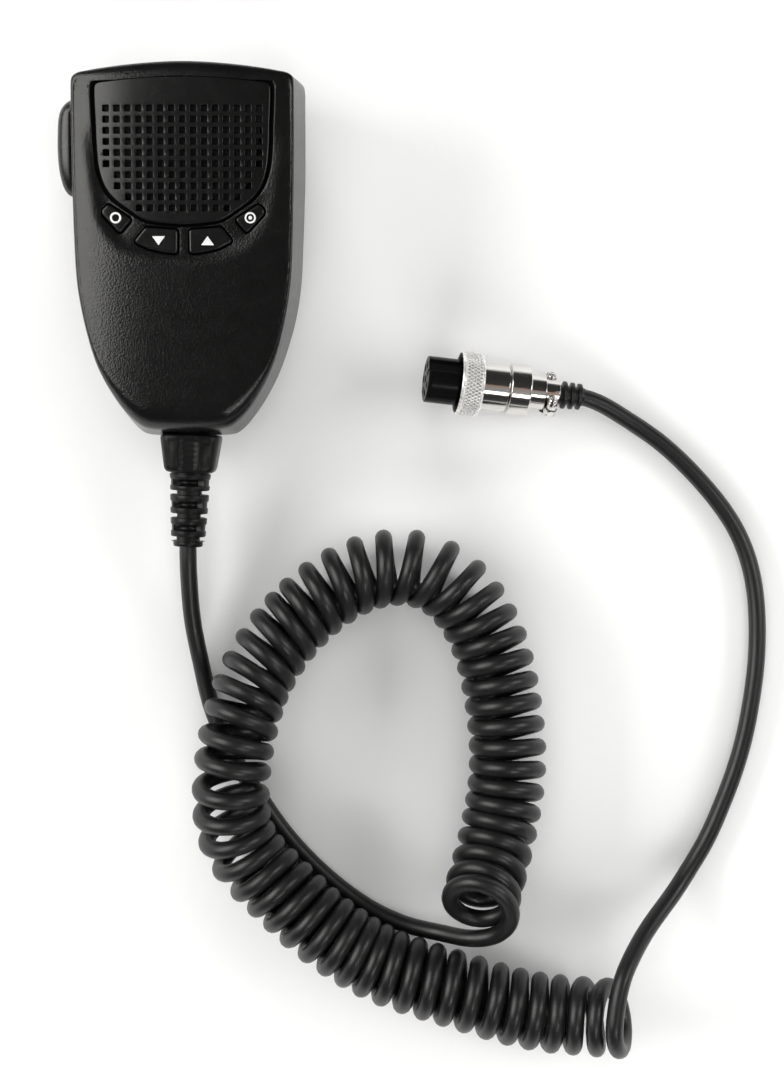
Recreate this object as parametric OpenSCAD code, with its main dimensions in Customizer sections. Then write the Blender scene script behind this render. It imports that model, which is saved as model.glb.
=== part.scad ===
// Hand microphone with a curly cord and a round screw-ring plug.
// It lies on its back, face up, resting on the hanger stud and the lower edge
// of its back. The cord lies in one loop beside it and the plug lies on its side.

/* [Microphone body] */
// Width across the joint line of the two halves
body_w = 64.4; // [63:0.2:66]
// Length from the cord end to the top
body_l = 101; // [99:0.5:104]
// Depth of the front half
front_d = 16; // [15.8:0.1:16.6]
// Depth of the rear half
rear_d = 15; // [14.5:0.1:16]
// Wall thickness of both halves
wall = 2; // [1.9:0.05:2.1]

/* [Grille] */
// Side of a sound hole
hole_w = 1.7; // [1.2:0.1:2]
// Step between sound holes, across
hole_dx = 2.93; // [2.8:0.01:2.95]
// Step between sound holes, down
hole_dy = 2.94; // [2.8:0.01:2.95]

/* [Keys and talk bar] */
// How far a key goes down
key_travel = 0.6; // [0.3:0.1:0.7]
// Gap around each key
key_gap = 0.35; // [0.3:0.05:0.4]
// How far the talk bar stands out of the side
ptt_out = 3.2; // [3:0.2:4.4]

/* [Hanger stud] */
// Diameter of the head
stud_d = 14; // [12:0.5:16]
// Diameter of the neck
stud_neck_d = 8; // [7.5:0.5:9]
// How far the stud stands out of the back
stud_h = 4; // [3.5:0.25:5]

/* [Cord] */
// Diameter of the cable
cable_d = 4.9; // [4.6:0.1:5]
// Outer diameter of the coil
coil_d = 22; // [21:0.2:22]

/* [Plug] */
// Outer diameter of the coupling ring
ring_d = 18; // [17.6:0.1:18]
// Length of the coupling ring
ring_l = 6.5; // [6.3:0.1:6.7]
// Diameter of the insulator nose
nose_d = 13.1; // [12.8:0.1:13.2]
// How far the nose stands out of the ring
nose_l = 9.2; // [8:0.2:10]

/* [Hidden] */
$fn = 48;

// ---- plane and vector helpers ----
function unit(v) = v / norm(v);
// closed outline, counterclockwise, from its right half listed top to bottom
function full(h) = concat([for (i = [len(h) - 1 : -1 : 0]) h[i]],
    [for (i = [1 : len(h) - 1]) [-h[i].x, h[i].y]]);
// outline moved outwards by d, with mitred corners
function grow(p, d) = let (n = len(p)) [for (i = [0 : n - 1])
    let (a = p[(i + n - 1) % n], b = p[i], c = p[(i + 1) % n],
         e = unit(b - a), f = unit(c - b),
         m = [e.y, -e.x], q = [f.y, -f.x])
    b + d * (m + q) / (1 + m * q)];
function flip(p) = [for (i = [len(p) - 1 : -1 : 0]) [-p[i].x, p[i].y]];
function zoomed(p, k) = [for (v = p) v * k];

// ---- outlines, right half from top to bottom ----
kx = body_w / 64.4;
ky = body_l / 101;
joint_half = [[0, 50.5], [10, 50.1], [20, 49], [27, 47.8], [30.4, 46.8],
    [31.8, 45.4], [32.2, 43], [32.2, 30], [32.1, 18], [31.6, 4], [30.9, -9],
    [29.5, -18], [27.3, -26], [25.2, -32], [23.2, -36.4], [21, -40.4],
    [18.2, -44.6], [15, -48.4], [12.2, -50.5]];
face_half = [[0, 49.7], [9.4, 49.3], [18.7, 48.3], [25.3, 47.2], [28.4, 46.4],
    [29.6, 45.3], [29.9, 43], [29.9, 30], [29.8, 18], [29.5, 4], [28.9, -9],
    [27.6, -17.6], [25.8, -25.4], [24, -31.3], [22.1, -35.6], [19.9, -39.5],
    [17.2, -43.6], [14, -47.2], [11, -49]];
joint_o = full([for (p = joint_half) [p.x * kx, p.y * ky]]);
face_o = full([for (p = face_half) [p.x * kx, p.y * ky]]);
grille_half = [[0, 45.7], [12, 45.2], [20, 44.4], [22.6, 44], [23.6, 43.2],
    [23.8, 42], [23.5, 33], [23.3, 27], [22.7, 21], [21.2, 16.4],
    [18.8, 13.1], [15, 10.2], [10.6, 7.4], [5.4, 6.4]];
grille_o = full(grille_half);
opening_half = [[0, 43.5], [19.5, 42.5], [21.6, 41], [21.2, 33], [20.5, 27],
    [19.3, 21.4], [17.4, 16.6], [15.2, 13.8], [12.1, 11.2], [8.5, 9.3], [4.5, 8.4]];
opening_o = full(opening_half);
dish_half = [[0, 33], [25.5, 33], [25.3, 20], [24.3, 13.5], [22.7, 6.3],
    [17, -0.6], [8, -3.2]];
dish_o = full(dish_half);
key_small = [[17.1, 3.8], [21.8, 8.9], [21.9, 10.1], [20.2, 11.6], [13.9, 7.5]];
key_mid = [[1.6, -1.6], [5, -1.3], [9.5, -0.3], [13.4, 1.6], [10.2, 5.4], [1.5, 4.8]];
small_at = [18.3, 7.9];
mid_at = [7.2, 2.1];

// ---- levels inside the body, from the joint plane ----
dish_d = 0.8;
face_z = front_d;
inner_z = front_d - wall;
board_z = front_d - 12;
board_t = 1.6;
seat_z = board_z + board_t;
switch_h = 3.5;
key_foot = front_d - 5.9;
panel_z = front_d - 1.8;
case_posts = [[23.7, 40.6], [-23.7, 40.6], [15.5, -31], [-15.5, -31]];
board_posts = [[24.3, 29], [-24.3, 29], [15, -13], [-15, -13]];
capsule_y = 24;

// ---- talk bar ----
ptt_x = -26;
ptt_y = 35.5;
side_x = body_w / 2;

// ---- resting place of the body ----
stud_y = 12;
back_k = 0.92;
foot_y = back_k * body_l / 2;
tilt = atan(stud_h / (foot_y + stud_y - stud_d / 2));
mic_x = 2;
mic_y = 0;
mic_z = foot_y * sin(tilt) + rear_d * cos(tilt);
module on_mic() { translate([mic_x, mic_y, mic_z]) rotate([tilt, 0, 0]) children(); }
function mic_pt(v) = [mic_x + v.x, mic_y + v.y * cos(tilt) - v.z * sin(tilt),
    mic_z + v.y * sin(tilt) + v.z * cos(tilt)];

// ---- strain relief, leaning a little to one side ----
relief_y = -50.6;
relief_l = 31.4;
relief_lean = -2.4;
relief_end = mic_pt([relief_l * sin(relief_lean), relief_y - relief_l * cos(relief_lean), 0]);

// ---- resting place of the plug: front towards -X, nose raised ----
plug_turn = 6;
plug_rise = 7.4;
plug_roll = 35;
plug_x = 76.8;
plug_y = -35.3;
plug_z = ring_l * sin(plug_rise) + ring_d / 2 * cos(plug_rise) + 0.02;
module on_plug() {
    translate([plug_x, plug_y, plug_z])
        rotate([0, 0, 180 - plug_turn]) rotate([0, -plug_rise, 0]) rotate([plug_roll, 0, 0]) children();
}
function plug_pt(u) = [plug_x - u * cos(plug_rise) * cos(plug_turn),
    plug_y + u * cos(plug_rise) * sin(plug_turn), plug_z + u * sin(plug_rise)];
boot_end = -35.7;

// ---- routes of the cord, set sideways from the body by route_x ----
route_x = 0.6;
function placed(p) = [for (v = p) [v.x + route_x, v.y, v.z]];
coil_route = [[82, -181, 19.5], [83.2, -177.6, 16.3], [84.7, -173, 13.7],
    [86.3, -167.4, 12], [87.9, -160.6, 11.3], [89.4, -152.6, 11], [90.2, -144, 11],
    [90.1, -136, 11], [89.3, -128, 11], [88, -120, 11], [85.8, -111, 11],
    [82.3, -102.8, 11], [76.8, -95, 11], [69.4, -89.6, 11], [60.4, -87.6, 11],
    [51.2, -88.9, 11], [43, -92.5, 11], [35.5, -97.8, 11], [28.6, -104.5, 11],
    [22.6, -112.5, 11.8], [18.2, -121, 13.6], [15.4, -130, 15.4], [13.6, -139, 16.2],
    [12.6, -148, 15.8], [12.6, -157, 14.2], [14.8, -165.5, 12.2], [20.2, -173, 11.2],
    [27.2, -179.8, 11], [35.2, -187.2, 11], [44.2, -193.9, 11], [54.2, -199.6, 11],
    [65.2, -203.7, 11], [77.2, -207.4, 11], [90, -211.2, 11], [102, -213.6, 11],
    [110.5, -214.2, 11.6], [116.5, -214.2, 13.2], [120.5, -214, 14.9], [123.2, -213.9, 16.2]];
mic_tail = [[0.2, -94, 9.3], [1, -105, 5.9], [3, -116, 3.5], [5.2, -126, 2.5],
    [8.5, -135, 2.5], [13, -144, 2.5], [19, -153, 2.5], [26, -163, 2.5],
    [34, -172, 2.5], [43, -180, 2.5], [53, -186.6, 2.9], [64, -190.9, 4.6],
    [72, -192.3, 7.2], [80, -191.9, 11.4], [86, -190, 14.4], [89.4, -186.8, 17.6], [90, -183.6, 20.4]];
plug_tail = [[119.4, -209, 23], [121.8, -200.5, 21.3], [124, -196.8, 18.6], [127, -192.8, 15],
    [130.4, -188.8, 11.6], [134.6, -184.4, 8.2], [138.6, -180, 5.4], [143, -174, 3.4],
    [147.4, -167, 2.6], [152, -157, 2.5],
    [156, -146.5, 2.5], [159, -136, 2.5], [161, -125.5, 2.5], [162.3, -115, 2.5],
    [162.6, -104.5, 2.5], [162, -95, 2.5], [160, -85.5, 2.5], [156.5, -77, 2.5],
    [150.5, -68, 2.5], [143, -59.5, 2.5], [134, -51.3, 2.5], [124, -44.6, 3.2]];

// tube swept along a route, one ring at each of its points
function along(p, i) = unit(p[min(i + 1, len(p) - 1)] - p[max(i - 1, 0)]);
function ring_pts(p, i, r, n) = let (t = along(p, i), s = unit(cross(t, [0, 0, 1])), u = cross(s, t))
    [for (k = [0 : n - 1]) p[i] + r * (cos(360 * (k + 0.5) / n) * s + sin(360 * (k + 0.5) / n) * u)];
module tube(p, r, n) {
    m = len(p);
    polyhedron(
        points = [for (i = [0 : m - 1]) each ring_pts(p, i, r, n)],
        faces = concat([[for (k = [n - 1 : -1 : 0]) k]],
            [[for (k = [0 : n - 1]) (m - 1) * n + k]],
            [for (i = [0 : m - 2], k = [0 : n - 1]) [i * n + k, i * n + (k + 1) % n, (i + 1) * n + (k + 1) % n]],
            [for (i = [0 : m - 2], k = [0 : n - 1]) [i * n + k, (i + 1) * n + (k + 1) % n, (i + 1) * n + k]]));
}
module slab(p, z, h = 0.02) { translate([0, 0, z]) linear_extrude(h) polygon(p); }
// upright cylinder at a point of the plane
module post(p, z, r, h) { translate([p.x, p.y, z]) cylinder(r = r, h = h); }
// cylinder along the plug's axis, from u to u + h
module bar(u, r, h) { translate([u, 0, 0]) rotate([0, 90, 0]) cylinder(r = r, h = h); }

// ---- body shells ----
module ptt_window() { translate([-45, 14.1, -6.5]) cube([16.5, 27.5, 15]); }
module cord_bore() { translate([0, relief_y + 8, 0]) rotate([90, 0, 0]) cylinder(r = 5.45, h = 12); }

module front_case() {
    color("#1d1d1f") on_mic() difference() {
        union() {
            difference() {
                hull() {
                    slab(joint_o, 0);
                    slab(face_o, face_z - 1.3);
                    slab(grow(face_o, -0.5), face_z - 0.4);
                    slab(grow(face_o, -1.3), face_z - 0.02);
                }
                hull() {
                    slab(grow(joint_o, -wall), -0.02);
                    slab(grow(face_o, -wall), inner_z - 1);
                    slab(grow(face_o, -wall - 0.8), inner_z - 0.02);
                }
            }
            slab(grow(grille_o, 1.5), inner_z - 2, 2.1);
            for (p = case_posts) post(p, 0, 3, inner_z + 0.1);
            for (p = board_posts) post(p, seat_z, 2, inner_z - seat_z + 0.1);
            post([ptt_x, ptt_y], 6, 2, inner_z - 6 + 0.1);
        }
        slab(dish_o, face_z - dish_d, 5);
        slab(grow(grille_o, 0.25), panel_z, 5);
        slab(opening_o, inner_z - 4, 8);
        for (k = [key_small, key_mid, flip(key_small), flip(key_mid)]) {
            slab(grow(k, key_gap), inner_z - 1, 8);
            slab(grow(k, 1.4), inner_z - 4, 4.05);
        }
        for (p = case_posts) post(p, -1, 1.3, 10);
        for (p = board_posts) post(p, seat_z - 1, 1, 6);
        post([ptt_x, ptt_y], 5, 1, 4.2);
        ptt_window();
        cord_bore();
    }
}

module rear_case() {
    color("#19191b") on_mic() difference() {
        union() {
            difference() {
                hull() {
                    slab(joint_o, -0.02);
                    slab(zoomed(joint_o, 0.985), -rear_d * 0.55);
                    slab(zoomed(joint_o, 0.965), -rear_d * 0.86);
                    slab(zoomed(joint_o, back_k), -rear_d);
                }
                hull() {
                    slab(grow(joint_o, -wall), 0);
                    slab(grow(zoomed(joint_o, 0.985), -wall), -rear_d * 0.55);
                    slab(grow(zoomed(joint_o, 0.965), -wall), -rear_d + wall + 1);
                    slab(grow(zoomed(joint_o, back_k), -wall), -rear_d + wall);
                }
            }
            for (p = case_posts) post(p, -rear_d + 1, 3.3, rear_d - 1);
            post([ptt_x, ptt_y], -rear_d + 1, 2, rear_d - 6.6);
            post([0, stud_y], -rear_d + 0.5, 7.5, 5);
        }
        for (p = case_posts) {
            post(p, -rear_d - 1, 1.5, rear_d + 2);
            post(p, -rear_d - 1, 2.6, 6);
        }
        post([ptt_x, ptt_y], -9.2, 1, 5);
        post([0, stud_y], -rear_d - 1, 2.05, 10);
        translate([0, stud_y, -rear_d + 2.6]) cylinder(r = 4.1, h = 6, $fn = 6);
        ptt_window();
        cord_bore();
    }
}

// ---- sound path ----
module grille_panel() {
    color("#242426") on_mic() difference() {
        slab(grille_o, panel_z, face_z - 0.1 - panel_z);
        for (r = [0 : 9]) let (n = r < 6 ? 7 : r < 8 ? 6 : r < 9 ? 5 : 4)
            for (c = [-n : n])
                translate([c * hole_dx - hole_w / 2, 37 - r * hole_dy - hole_w / 2, panel_z - 1])
                    cube([hole_w, hole_w, 5]);
    }
}
module dust_screen() { color("#0e0e0f") on_mic() slab(grow(opening_o, -0.3), panel_z - 0.5, 0.5); }
module mic_capsule() { color("#b9bcc0") on_mic() post([0, capsule_y], seat_z + 1, 4.85, 6.6); }
module capsule_boot() {
    color("#262628") on_mic() difference() {
        post([0, capsule_y], seat_z, 7, 7.7);
        post([0, capsule_y], seat_z + 1, 4.87, 8);
    }
}

// ---- board and what is on it ----
module circuit_board() {
    color("#1f5a35") on_mic() difference() {
        slab(full([[0, 38], [20.5, 38], [20.5, 32], [26, 32], [26, 26], [23.4, 24],
            [23.4, 2], [20, -9], [18.4, -17]]), board_z, board_t);
        for (p = board_posts) post(p, board_z - 1, 1.2, 5);
    }
}
module switch_body(p) {
    difference() {
        translate([p.x - 3, p.y - 3, seat_z]) cube([6, 6, switch_h]);
        post(p, seat_z + 1.2, 2.05, 5);
    }
}
module key_switches() {
    color("#2b2b2d") on_mic()
        for (s = [-1, 1]) { switch_body([s * small_at.x, small_at.y]); switch_body([s * mid_at.x, mid_at.y]); }
}
module ptt_switch() {
    color("#2b2b2d") on_mic() difference() {
        translate([-23.2, 14, seat_z]) cube([5, 6, 3.8]);
        translate([-24, 15.2, seat_z + 0.4]) cube([4.2, 3.6, 2.9]);
    }
}
module wire_header() {
    color("#e6e0cf") on_mic() translate([-6, -16.5, board_z - 4]) cube([12, 5.5, 4]);
}
module lead_wires() {
    for (i = [0 : 5]) color(["#c22f2f", "#e3c53a", "#2f8f46", "#2c5fb0", "#e8e8e8", "#222222"][i])
        on_mic() translate([-3.75 + 1.5 * i, -16.5, board_z - 2]) rotate([90, 0, 0]) cylinder(r = 0.55, h = 27.7);
}
module board_screws() {
    color("#a9acb0") on_mic() for (p = board_posts) {
        post(p, board_z - 1.4, 1.9, 1.4);
        post(p, board_z - 0.1, 0.98, 6);
    }
}
module case_screws() {
    color("#8d9094") on_mic() for (p = case_posts) difference() {
        union() {
            post(p, -rear_d + 3, 2.4, 2);
            post(p, -rear_d + 4.9, 1.28, 17);
        }
        for (a = [0, 90]) translate([p.x, p.y, -rear_d + 3]) rotate(a) cube([3, 0.7, 1.6], center = true);
    }
}

// ---- hanger stud ----
module hanger_stud() {
    color("#c9ccd0") on_mic() translate([0, stud_y, -rear_d - stud_h]) difference() {
        union() {
            cylinder(d = stud_d, h = stud_h * 0.45);
            cylinder(d = stud_neck_d, h = stud_h);
        }
        translate([0, 0, -1]) cylinder(r = 2.05, h = stud_h + 2);
        translate([0, 0, -0.01]) cylinder(r1 = 3.85, r2 = 2.05, h = 1.8);
    }
}
module hanger_screw() {
    color("#b4b7bb") on_mic() translate([0, stud_y, -rear_d - stud_h]) difference() {
        union() {
            translate([0, 0, 0.1]) cylinder(r1 = 3.7, r2 = 2, h = 1.7);
            translate([0, 0, 1.7]) cylinder(r = 2, h = 8.6);
        }
        for (a = [0, 90]) rotate(a) translate([0, 0, 0.1]) cube([4, 0.9, 1.8], center = true);
    }
}
module hanger_nut() {
    color("#b4b7bb") on_mic() translate([0, stud_y, -rear_d + 2.6]) difference() {
        cylinder(r = 4.04, h = 3.2, $fn = 6);
        translate([0, 0, -1]) cylinder(r = 2.03, h = 6);
    }
}

// ---- talk bar, turning on its pin near its top end ----
module ptt_pin() { color("#b9bcc0") on_mic() post([ptt_x, ptt_y], -9, 0.99, 18); }
module ptt_bar() {
    o = -side_x - ptt_out;
    color("#202022") on_mic() difference() {
        union() {
            slab([[-28.8, 41.2], [-side_x - 0.2, 41.2], [o + 1.8, 40.6], [o + 0.8, 39.6], [o + 0.2, 37.4],
                [o, 34.6], [o, 26.6], [o + 0.2, 23], [o + 0.6, 20], [o + 1.4, 17.1], [o + 2.2, 15.7],
                [-side_x - 0.2, 14.9], [-27.2, 14.9], [-27.2, 32.8], [-28.8, 32.8]], -6.1, 14.2);
            translate([-28, 11.8, -7.5]) cube([1.2, 21, 16.4]);
            translate([-28.9, ptt_y - 2.2, -5]) cube([2.9, 4.4, 10]);
            post([ptt_x, ptt_y], -5, 1.95, 10);
            translate([-27.3, 15.5, seat_z + 0.3]) cube([2.1, 3, 3]);
        }
        post([ptt_x, ptt_y], -6, 1.05, 12);
    }
}
module ptt_plunger() { color("#d8d4c8") on_mic() translate([-25.2, 16.2, seat_z + 1.1]) cube([3.3, 1.6, 1.4]); }

// ---- keys ----
module key_cap(k, at) {
    on_mic() {
        slab(k, front_d - 2.3, 2.5);
        slab(grow(k, 1), inner_z - 1.4, 1.2);
        post(at, key_foot, 2, inner_z - 1.3 - key_foot);
    }
}
module plunger(at) { on_mic() post(at, seat_z + 2.4, 1.7, key_foot - seat_z - 2.4); }
module key_left() { color("#262628") key_cap(flip(key_small), [-small_at.x, small_at.y]); }
module key_down() { color("#262628") key_cap(flip(key_mid), [-mid_at.x, mid_at.y]); }
module key_up() { color("#262628") key_cap(key_mid, mid_at); }
module key_right() { color("#262628") key_cap(key_small, small_at); }
module plunger_left() { color("#d8d4c8") plunger([-small_at.x, small_at.y]); }
module plunger_down() { color("#d8d4c8") plunger([-mid_at.x, mid_at.y]); }
module plunger_up() { color("#d8d4c8") plunger(mid_at); }
module plunger_right() { color("#d8d4c8") plunger(small_at); }

// ---- strain relief and cord ----
// rounded block across the cord, w wide and t thick
module collar_slice(y, w, t) {
    translate([0, y, 0]) rotate([90, 0, 0]) linear_extrude(0.1)
        for (sx = [-1, 1], sz = [-1, 1]) translate([sx * (w / 2 - 2.5), sz * (t / 2 - 2.5)]) circle(r = 2.5, $fn = 24);
}
module cord_disc(y, r, h) { translate([0, y, 0]) rotate([90, 0, 0]) cylinder(r = r, h = h); }
module strain_relief() {
    color("#161617") on_mic() {
        cord_disc(-44.2, 7.2, 2);
        cord_disc(-46.1, 5.4, 5.6);
        translate([0, relief_y, 0]) rotate([0, 0, relief_lean]) {
            hull() {
                collar_slice(-0.5, 17, 14);
                collar_slice(-10, 14.2, 12.4);
            }
            cord_disc(-9.9, 5.6, 2.4);
            cord_disc(-12, 3.6, relief_l - 12);
            for (i = [0 : 4]) cord_disc(-13.4 - 3.3 * i, 5.7 - 0.2 * i, 2);
            cord_disc(-relief_l + 1.9, 4.1, 1.9);
        }
    }
}
module cord_mic_tail() { color("#18181a") tube(concat([relief_end], placed(mic_tail)), cable_d / 2, 8); }
module cord_coil() { color("#141416") tube(placed(coil_route), coil_d / 2, 12); }
module cord_plug_tail() { color("#18181a") tube(concat(placed(plug_tail), [plug_pt(boot_end)]), cable_d / 2, 8); }

// ---- plug, along its own axis, front at +X ----
contact_at = concat([[0, 0]], [for (i = [0 : 6]) 4.1 * [cos(360 * (i + 0.5) / 7), sin(360 * (i + 0.5) / 7)]]);
module plug_boot() {
    color("#1a1a1b") on_plug() {
        bar(-29.9, 2.9, 6);
        bar(boot_end, 2.6, 6);
        for (i = [0 : 2]) bar(-31.3 - 2.2 * i, 3.9 - 0.1 * i, 1);
    }
}
module plug_sleeve() {
    color("#c8cacd") on_plug() difference() {
        union() {
            bar(-20.3, 7.2, 6);
            bar(-24.8, 4.9, 4.7);
            intersection() {
                bar(-29.3, 5.9, 4.6);
                translate([-31, -10, -10]) cube([10, 20, 9.7]);
            }
            translate([-29.3, -6.5, -2.4]) cube([4.6, 13, 2.1]);
        }
        bar(-19.6, 5.6, 8);
        bar(-40, 2.95, 30);
        for (s = [-1, 1]) translate([-27, s * 4.3, -4]) cylinder(r = 1.02, h = 8);
    }
}
module plug_clamp() {
    color("#cfd1d4") on_plug() difference() {
        union() {
            translate([-29.1, -6.5, 0.2]) cube([4.2, 13, 1.8]);
            intersection() {
                bar(-29.1, 4.4, 4.2);
                translate([-31, -10, 0.2]) cube([10, 20, 10]);
            }
        }
        bar(-40, 2.95, 30);
        for (s = [-1, 1]) translate([-27, s * 4.3, -4]) {
            cylinder(r = 1.1, h = 12);
            translate([0, 0, 6.02]) cylinder(r = 1.75, h = 6);
        }
    }
}
module clamp_screws() {
    color("#d4d6d8") on_plug() for (s = [-1, 1]) translate([-27, s * 4.3, 0]) difference() {
        union() {
            translate([0, 0, -3.4]) cylinder(r = 1, h = 5.5);
            translate([0, 0, 2.03]) cylinder(r = 1.6, h = 1.1);
        }
        translate([0, 0, 3.2]) cube([4, 0.5, 1], center = true);
    }
}
module plug_shell() {
    color("#c4c6ca") on_plug() difference() {
        union() {
            bar(-14.1, 6.75, 10.4);
            bar(-4.9, 7.3, 1.2);
            bar(-19.5, 5.55, 5.5);
        }
        bar(-10.1, 5.95, 8);
        bar(-25, 4.8, 24);
    }
}
module plug_insulator() {
    color("#101011") on_plug() difference() {
        union() {
            bar(0.3, nose_d / 2, nose_l - 0.3);
            bar(-3.6, nose_d / 2 - 0.12, 4);
            bar(-10, 5.9, 6.6);
        }
        translate([-1, -2, nose_d / 2 - 1]) cube([30, 4, 5]);
        for (c = contact_at) translate([nose_l - 8, c.x, c.y]) rotate([0, 90, 0]) cylinder(r = 1, h = 20, $fn = 32);
    }
}
module plug_contacts() {
    color("#d9d3bf") on_plug() for (c = contact_at) translate([nose_l - 8, c.x, c.y]) rotate([0, 90, 0])
        difference() {
            cylinder(r = 0.98, h = 7.8, $fn = 32);
            translate([0, 0, 1]) cylinder(r = 0.6, h = 9, $fn = 32);
        }
}
module coupling_ring() {
    color("#d0d2d5") on_plug() difference() {
        union() {
            bar(-ring_l + 0.5, ring_d / 2, ring_l - 1);
            bar(-ring_l, ring_d / 2 - 0.4, ring_l);
        }
        bar(-5, 8, 10);
        bar(-ring_l - 1, 6.82, 5);
    }
}

front_case();
rear_case();
grille_panel();
dust_screen();
mic_capsule();
capsule_boot();
circuit_board();
key_switches();
ptt_switch();
wire_header();
lead_wires();
board_screws();
case_screws();
hanger_stud();
hanger_screw();
hanger_nut();
ptt_pin();
ptt_bar();
ptt_plunger();
key_left();
key_down();
key_up();
key_right();
plunger_left();
plunger_down();
plunger_up();
plunger_right();
strain_relief();
cord_mic_tail();
cord_coil();
cord_plug_tail();
plug_boot();
plug_clamp();
clamp_screws();
plug_sleeve();
plug_shell();
plug_insulator();
plug_contacts();
coupling_ring();
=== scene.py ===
import math

import bmesh
import bpy
import numpy as np
from mathutils import Euler, Matrix, Vector
from mathutils.geometry import delaunay_2d_cdt


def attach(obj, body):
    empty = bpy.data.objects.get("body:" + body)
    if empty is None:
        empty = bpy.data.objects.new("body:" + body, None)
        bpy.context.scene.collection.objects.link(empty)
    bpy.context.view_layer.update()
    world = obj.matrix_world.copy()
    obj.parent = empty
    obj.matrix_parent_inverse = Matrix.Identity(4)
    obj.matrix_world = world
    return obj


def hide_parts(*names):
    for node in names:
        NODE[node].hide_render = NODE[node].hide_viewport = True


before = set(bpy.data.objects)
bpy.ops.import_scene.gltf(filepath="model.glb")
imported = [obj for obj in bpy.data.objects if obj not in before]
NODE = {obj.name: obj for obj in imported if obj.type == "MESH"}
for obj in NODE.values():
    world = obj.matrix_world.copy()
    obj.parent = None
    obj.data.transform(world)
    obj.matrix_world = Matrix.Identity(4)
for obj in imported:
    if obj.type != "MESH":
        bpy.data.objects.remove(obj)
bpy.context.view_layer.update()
MM = 0.001

# ------------------------------------------------------------------ places
# the body lies on its back, resting on the stud and the lower back edge
TILT = math.atan(4 / (0.92 * 101 / 2 + 12 - 7))
CT, ST = math.cos(TILT), math.sin(TILT)
MIC_Z = 0.92 * 101 / 2 * ST + 15 * CT
# the plug lies on its ring, front towards -X, nose raised
TURN, RISE, ROLL = math.radians(6), math.radians(7.4), math.radians(35)
PLUG_O = np.array([76.8, -35.3, 6.5 * math.sin(RISE) + 9 * math.cos(RISE) + 0.02])
PX = np.array([-math.cos(RISE) * math.cos(TURN), math.cos(RISE) * math.sin(TURN), math.sin(RISE)])
LEVEL = np.array([-math.sin(math.pi - TURN), math.cos(math.pi - TURN), 0.0])
PY = math.cos(ROLL) * LEVEL + math.sin(ROLL) * np.cross(PX, LEVEL)
PZ = np.cross(PX, PY)
# strain relief: origin on the cord end, axis leaning a little
LEAN = math.radians(-2.4)
RELIEF_Y = -50.6
RELIEF_L = 31.4


def on_mic(P):
    P = np.asarray(P, float)
    return np.stack([2 + P[:, 0], P[:, 1] * CT - P[:, 2] * ST, MIC_Z + P[:, 1] * ST + P[:, 2] * CT], 1) * MM


def off_mic(P):
    P = np.asarray(P, float) / MM
    return np.stack([P[:, 0] - 2, P[:, 1] * CT + (P[:, 2] - MIC_Z) * ST, (P[:, 2] - MIC_Z) * CT - P[:, 1] * ST], 1)


def on_plug(P):
    P = np.asarray(P, float)
    return (PLUG_O + P[:, :1] * PX + P[:, 1:2] * PY + P[:, 2:3] * PZ) * MM


def on_relief(P):
    """columns: along the cord, across, out of the face"""
    P = np.asarray(P, float)
    t, a, b = P[:, 0], P[:, 1], P[:, 2]
    x = t * math.sin(LEAN) + a * math.cos(LEAN)
    y = RELIEF_Y - t * math.cos(LEAN) + a * math.sin(LEAN)
    return on_mic(np.stack([x, y, b], 1))


# ------------------------------------------------------------------ mesh helpers
def catmull(P, m):
    """closed centripetal spline through P, m samples to each span"""
    P = np.asarray(P, float)
    n = len(P)
    out = []
    for i in range(n):
        a, b, c, d = P[i - 1], P[i], P[(i + 1) % n], P[(i + 2) % n]
        t0 = 0.0
        t1 = t0 + max(np.linalg.norm(b - a), 1e-6) ** 0.5
        t2 = t1 + max(np.linalg.norm(c - b), 1e-6) ** 0.5
        t3 = t2 + max(np.linalg.norm(d - c), 1e-6) ** 0.5
        for k in range(m):
            t = t1 + (t2 - t1) * k / m
            A1 = (t1 - t) / (t1 - t0) * a + (t - t0) / (t1 - t0) * b
            A2 = (t2 - t) / (t2 - t1) * b + (t - t1) / (t2 - t1) * c
            A3 = (t3 - t) / (t3 - t2) * c + (t - t2) / (t3 - t2) * d
            B1 = (t2 - t) / (t2 - t0) * A1 + (t - t0) / (t2 - t0) * A2
            B2 = (t3 - t) / (t3 - t1) * A2 + (t - t1) / (t3 - t1) * A3
            out.append((t2 - t) / (t2 - t1) * B1 + (t - t1) / (t2 - t1) * B2)
    return np.array(out)


def mirrored(half):
    """right half listed from top to bottom, closed through the left half (clockwise)"""
    return [list(p) for p in half] + [[-x, y] for x, y in half[-1:0:-1] if abs(x) > 1e-9]


def inward(L):
    """inward unit normals of a clockwise loop"""
    t = np.roll(L, -1, 0) - np.roll(L, 1, 0)
    t /= np.linalg.norm(t, axis=1)[:, None]
    return np.stack([t[:, 1], -t[:, 0]], 1)


def rounded(poly, r, seg=5):
    """closed polygon with each corner turned into an arc; comes out clockwise"""
    P = [np.array(p, float) for p in poly]
    area = sum(P[i - 1][0] * P[i][1] - P[i][0] * P[i - 1][1] for i in range(len(P)))
    if area > 0:
        P = P[::-1]
    out = []
    n = len(P)
    for i in range(n):
        a, b, c = P[i - 1], P[i], P[(i + 1) % n]
        e, f = a - b, c - b
        le, lf = np.linalg.norm(e), np.linalg.norm(f)
        e, f = e / le, f / lf
        half = math.acos(max(-1, min(1, float(e @ f)))) / 2
        d = min(r / math.tan(half), 0.45 * le, 0.45 * lf)
        p, q = b + e * d, b + f * d
        for k in range(seg + 1):
            s = k / seg
            out.append((1 - s) ** 2 * p + 2 * s * (1 - s) * b + s * s * q)
    return np.array(out)


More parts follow.
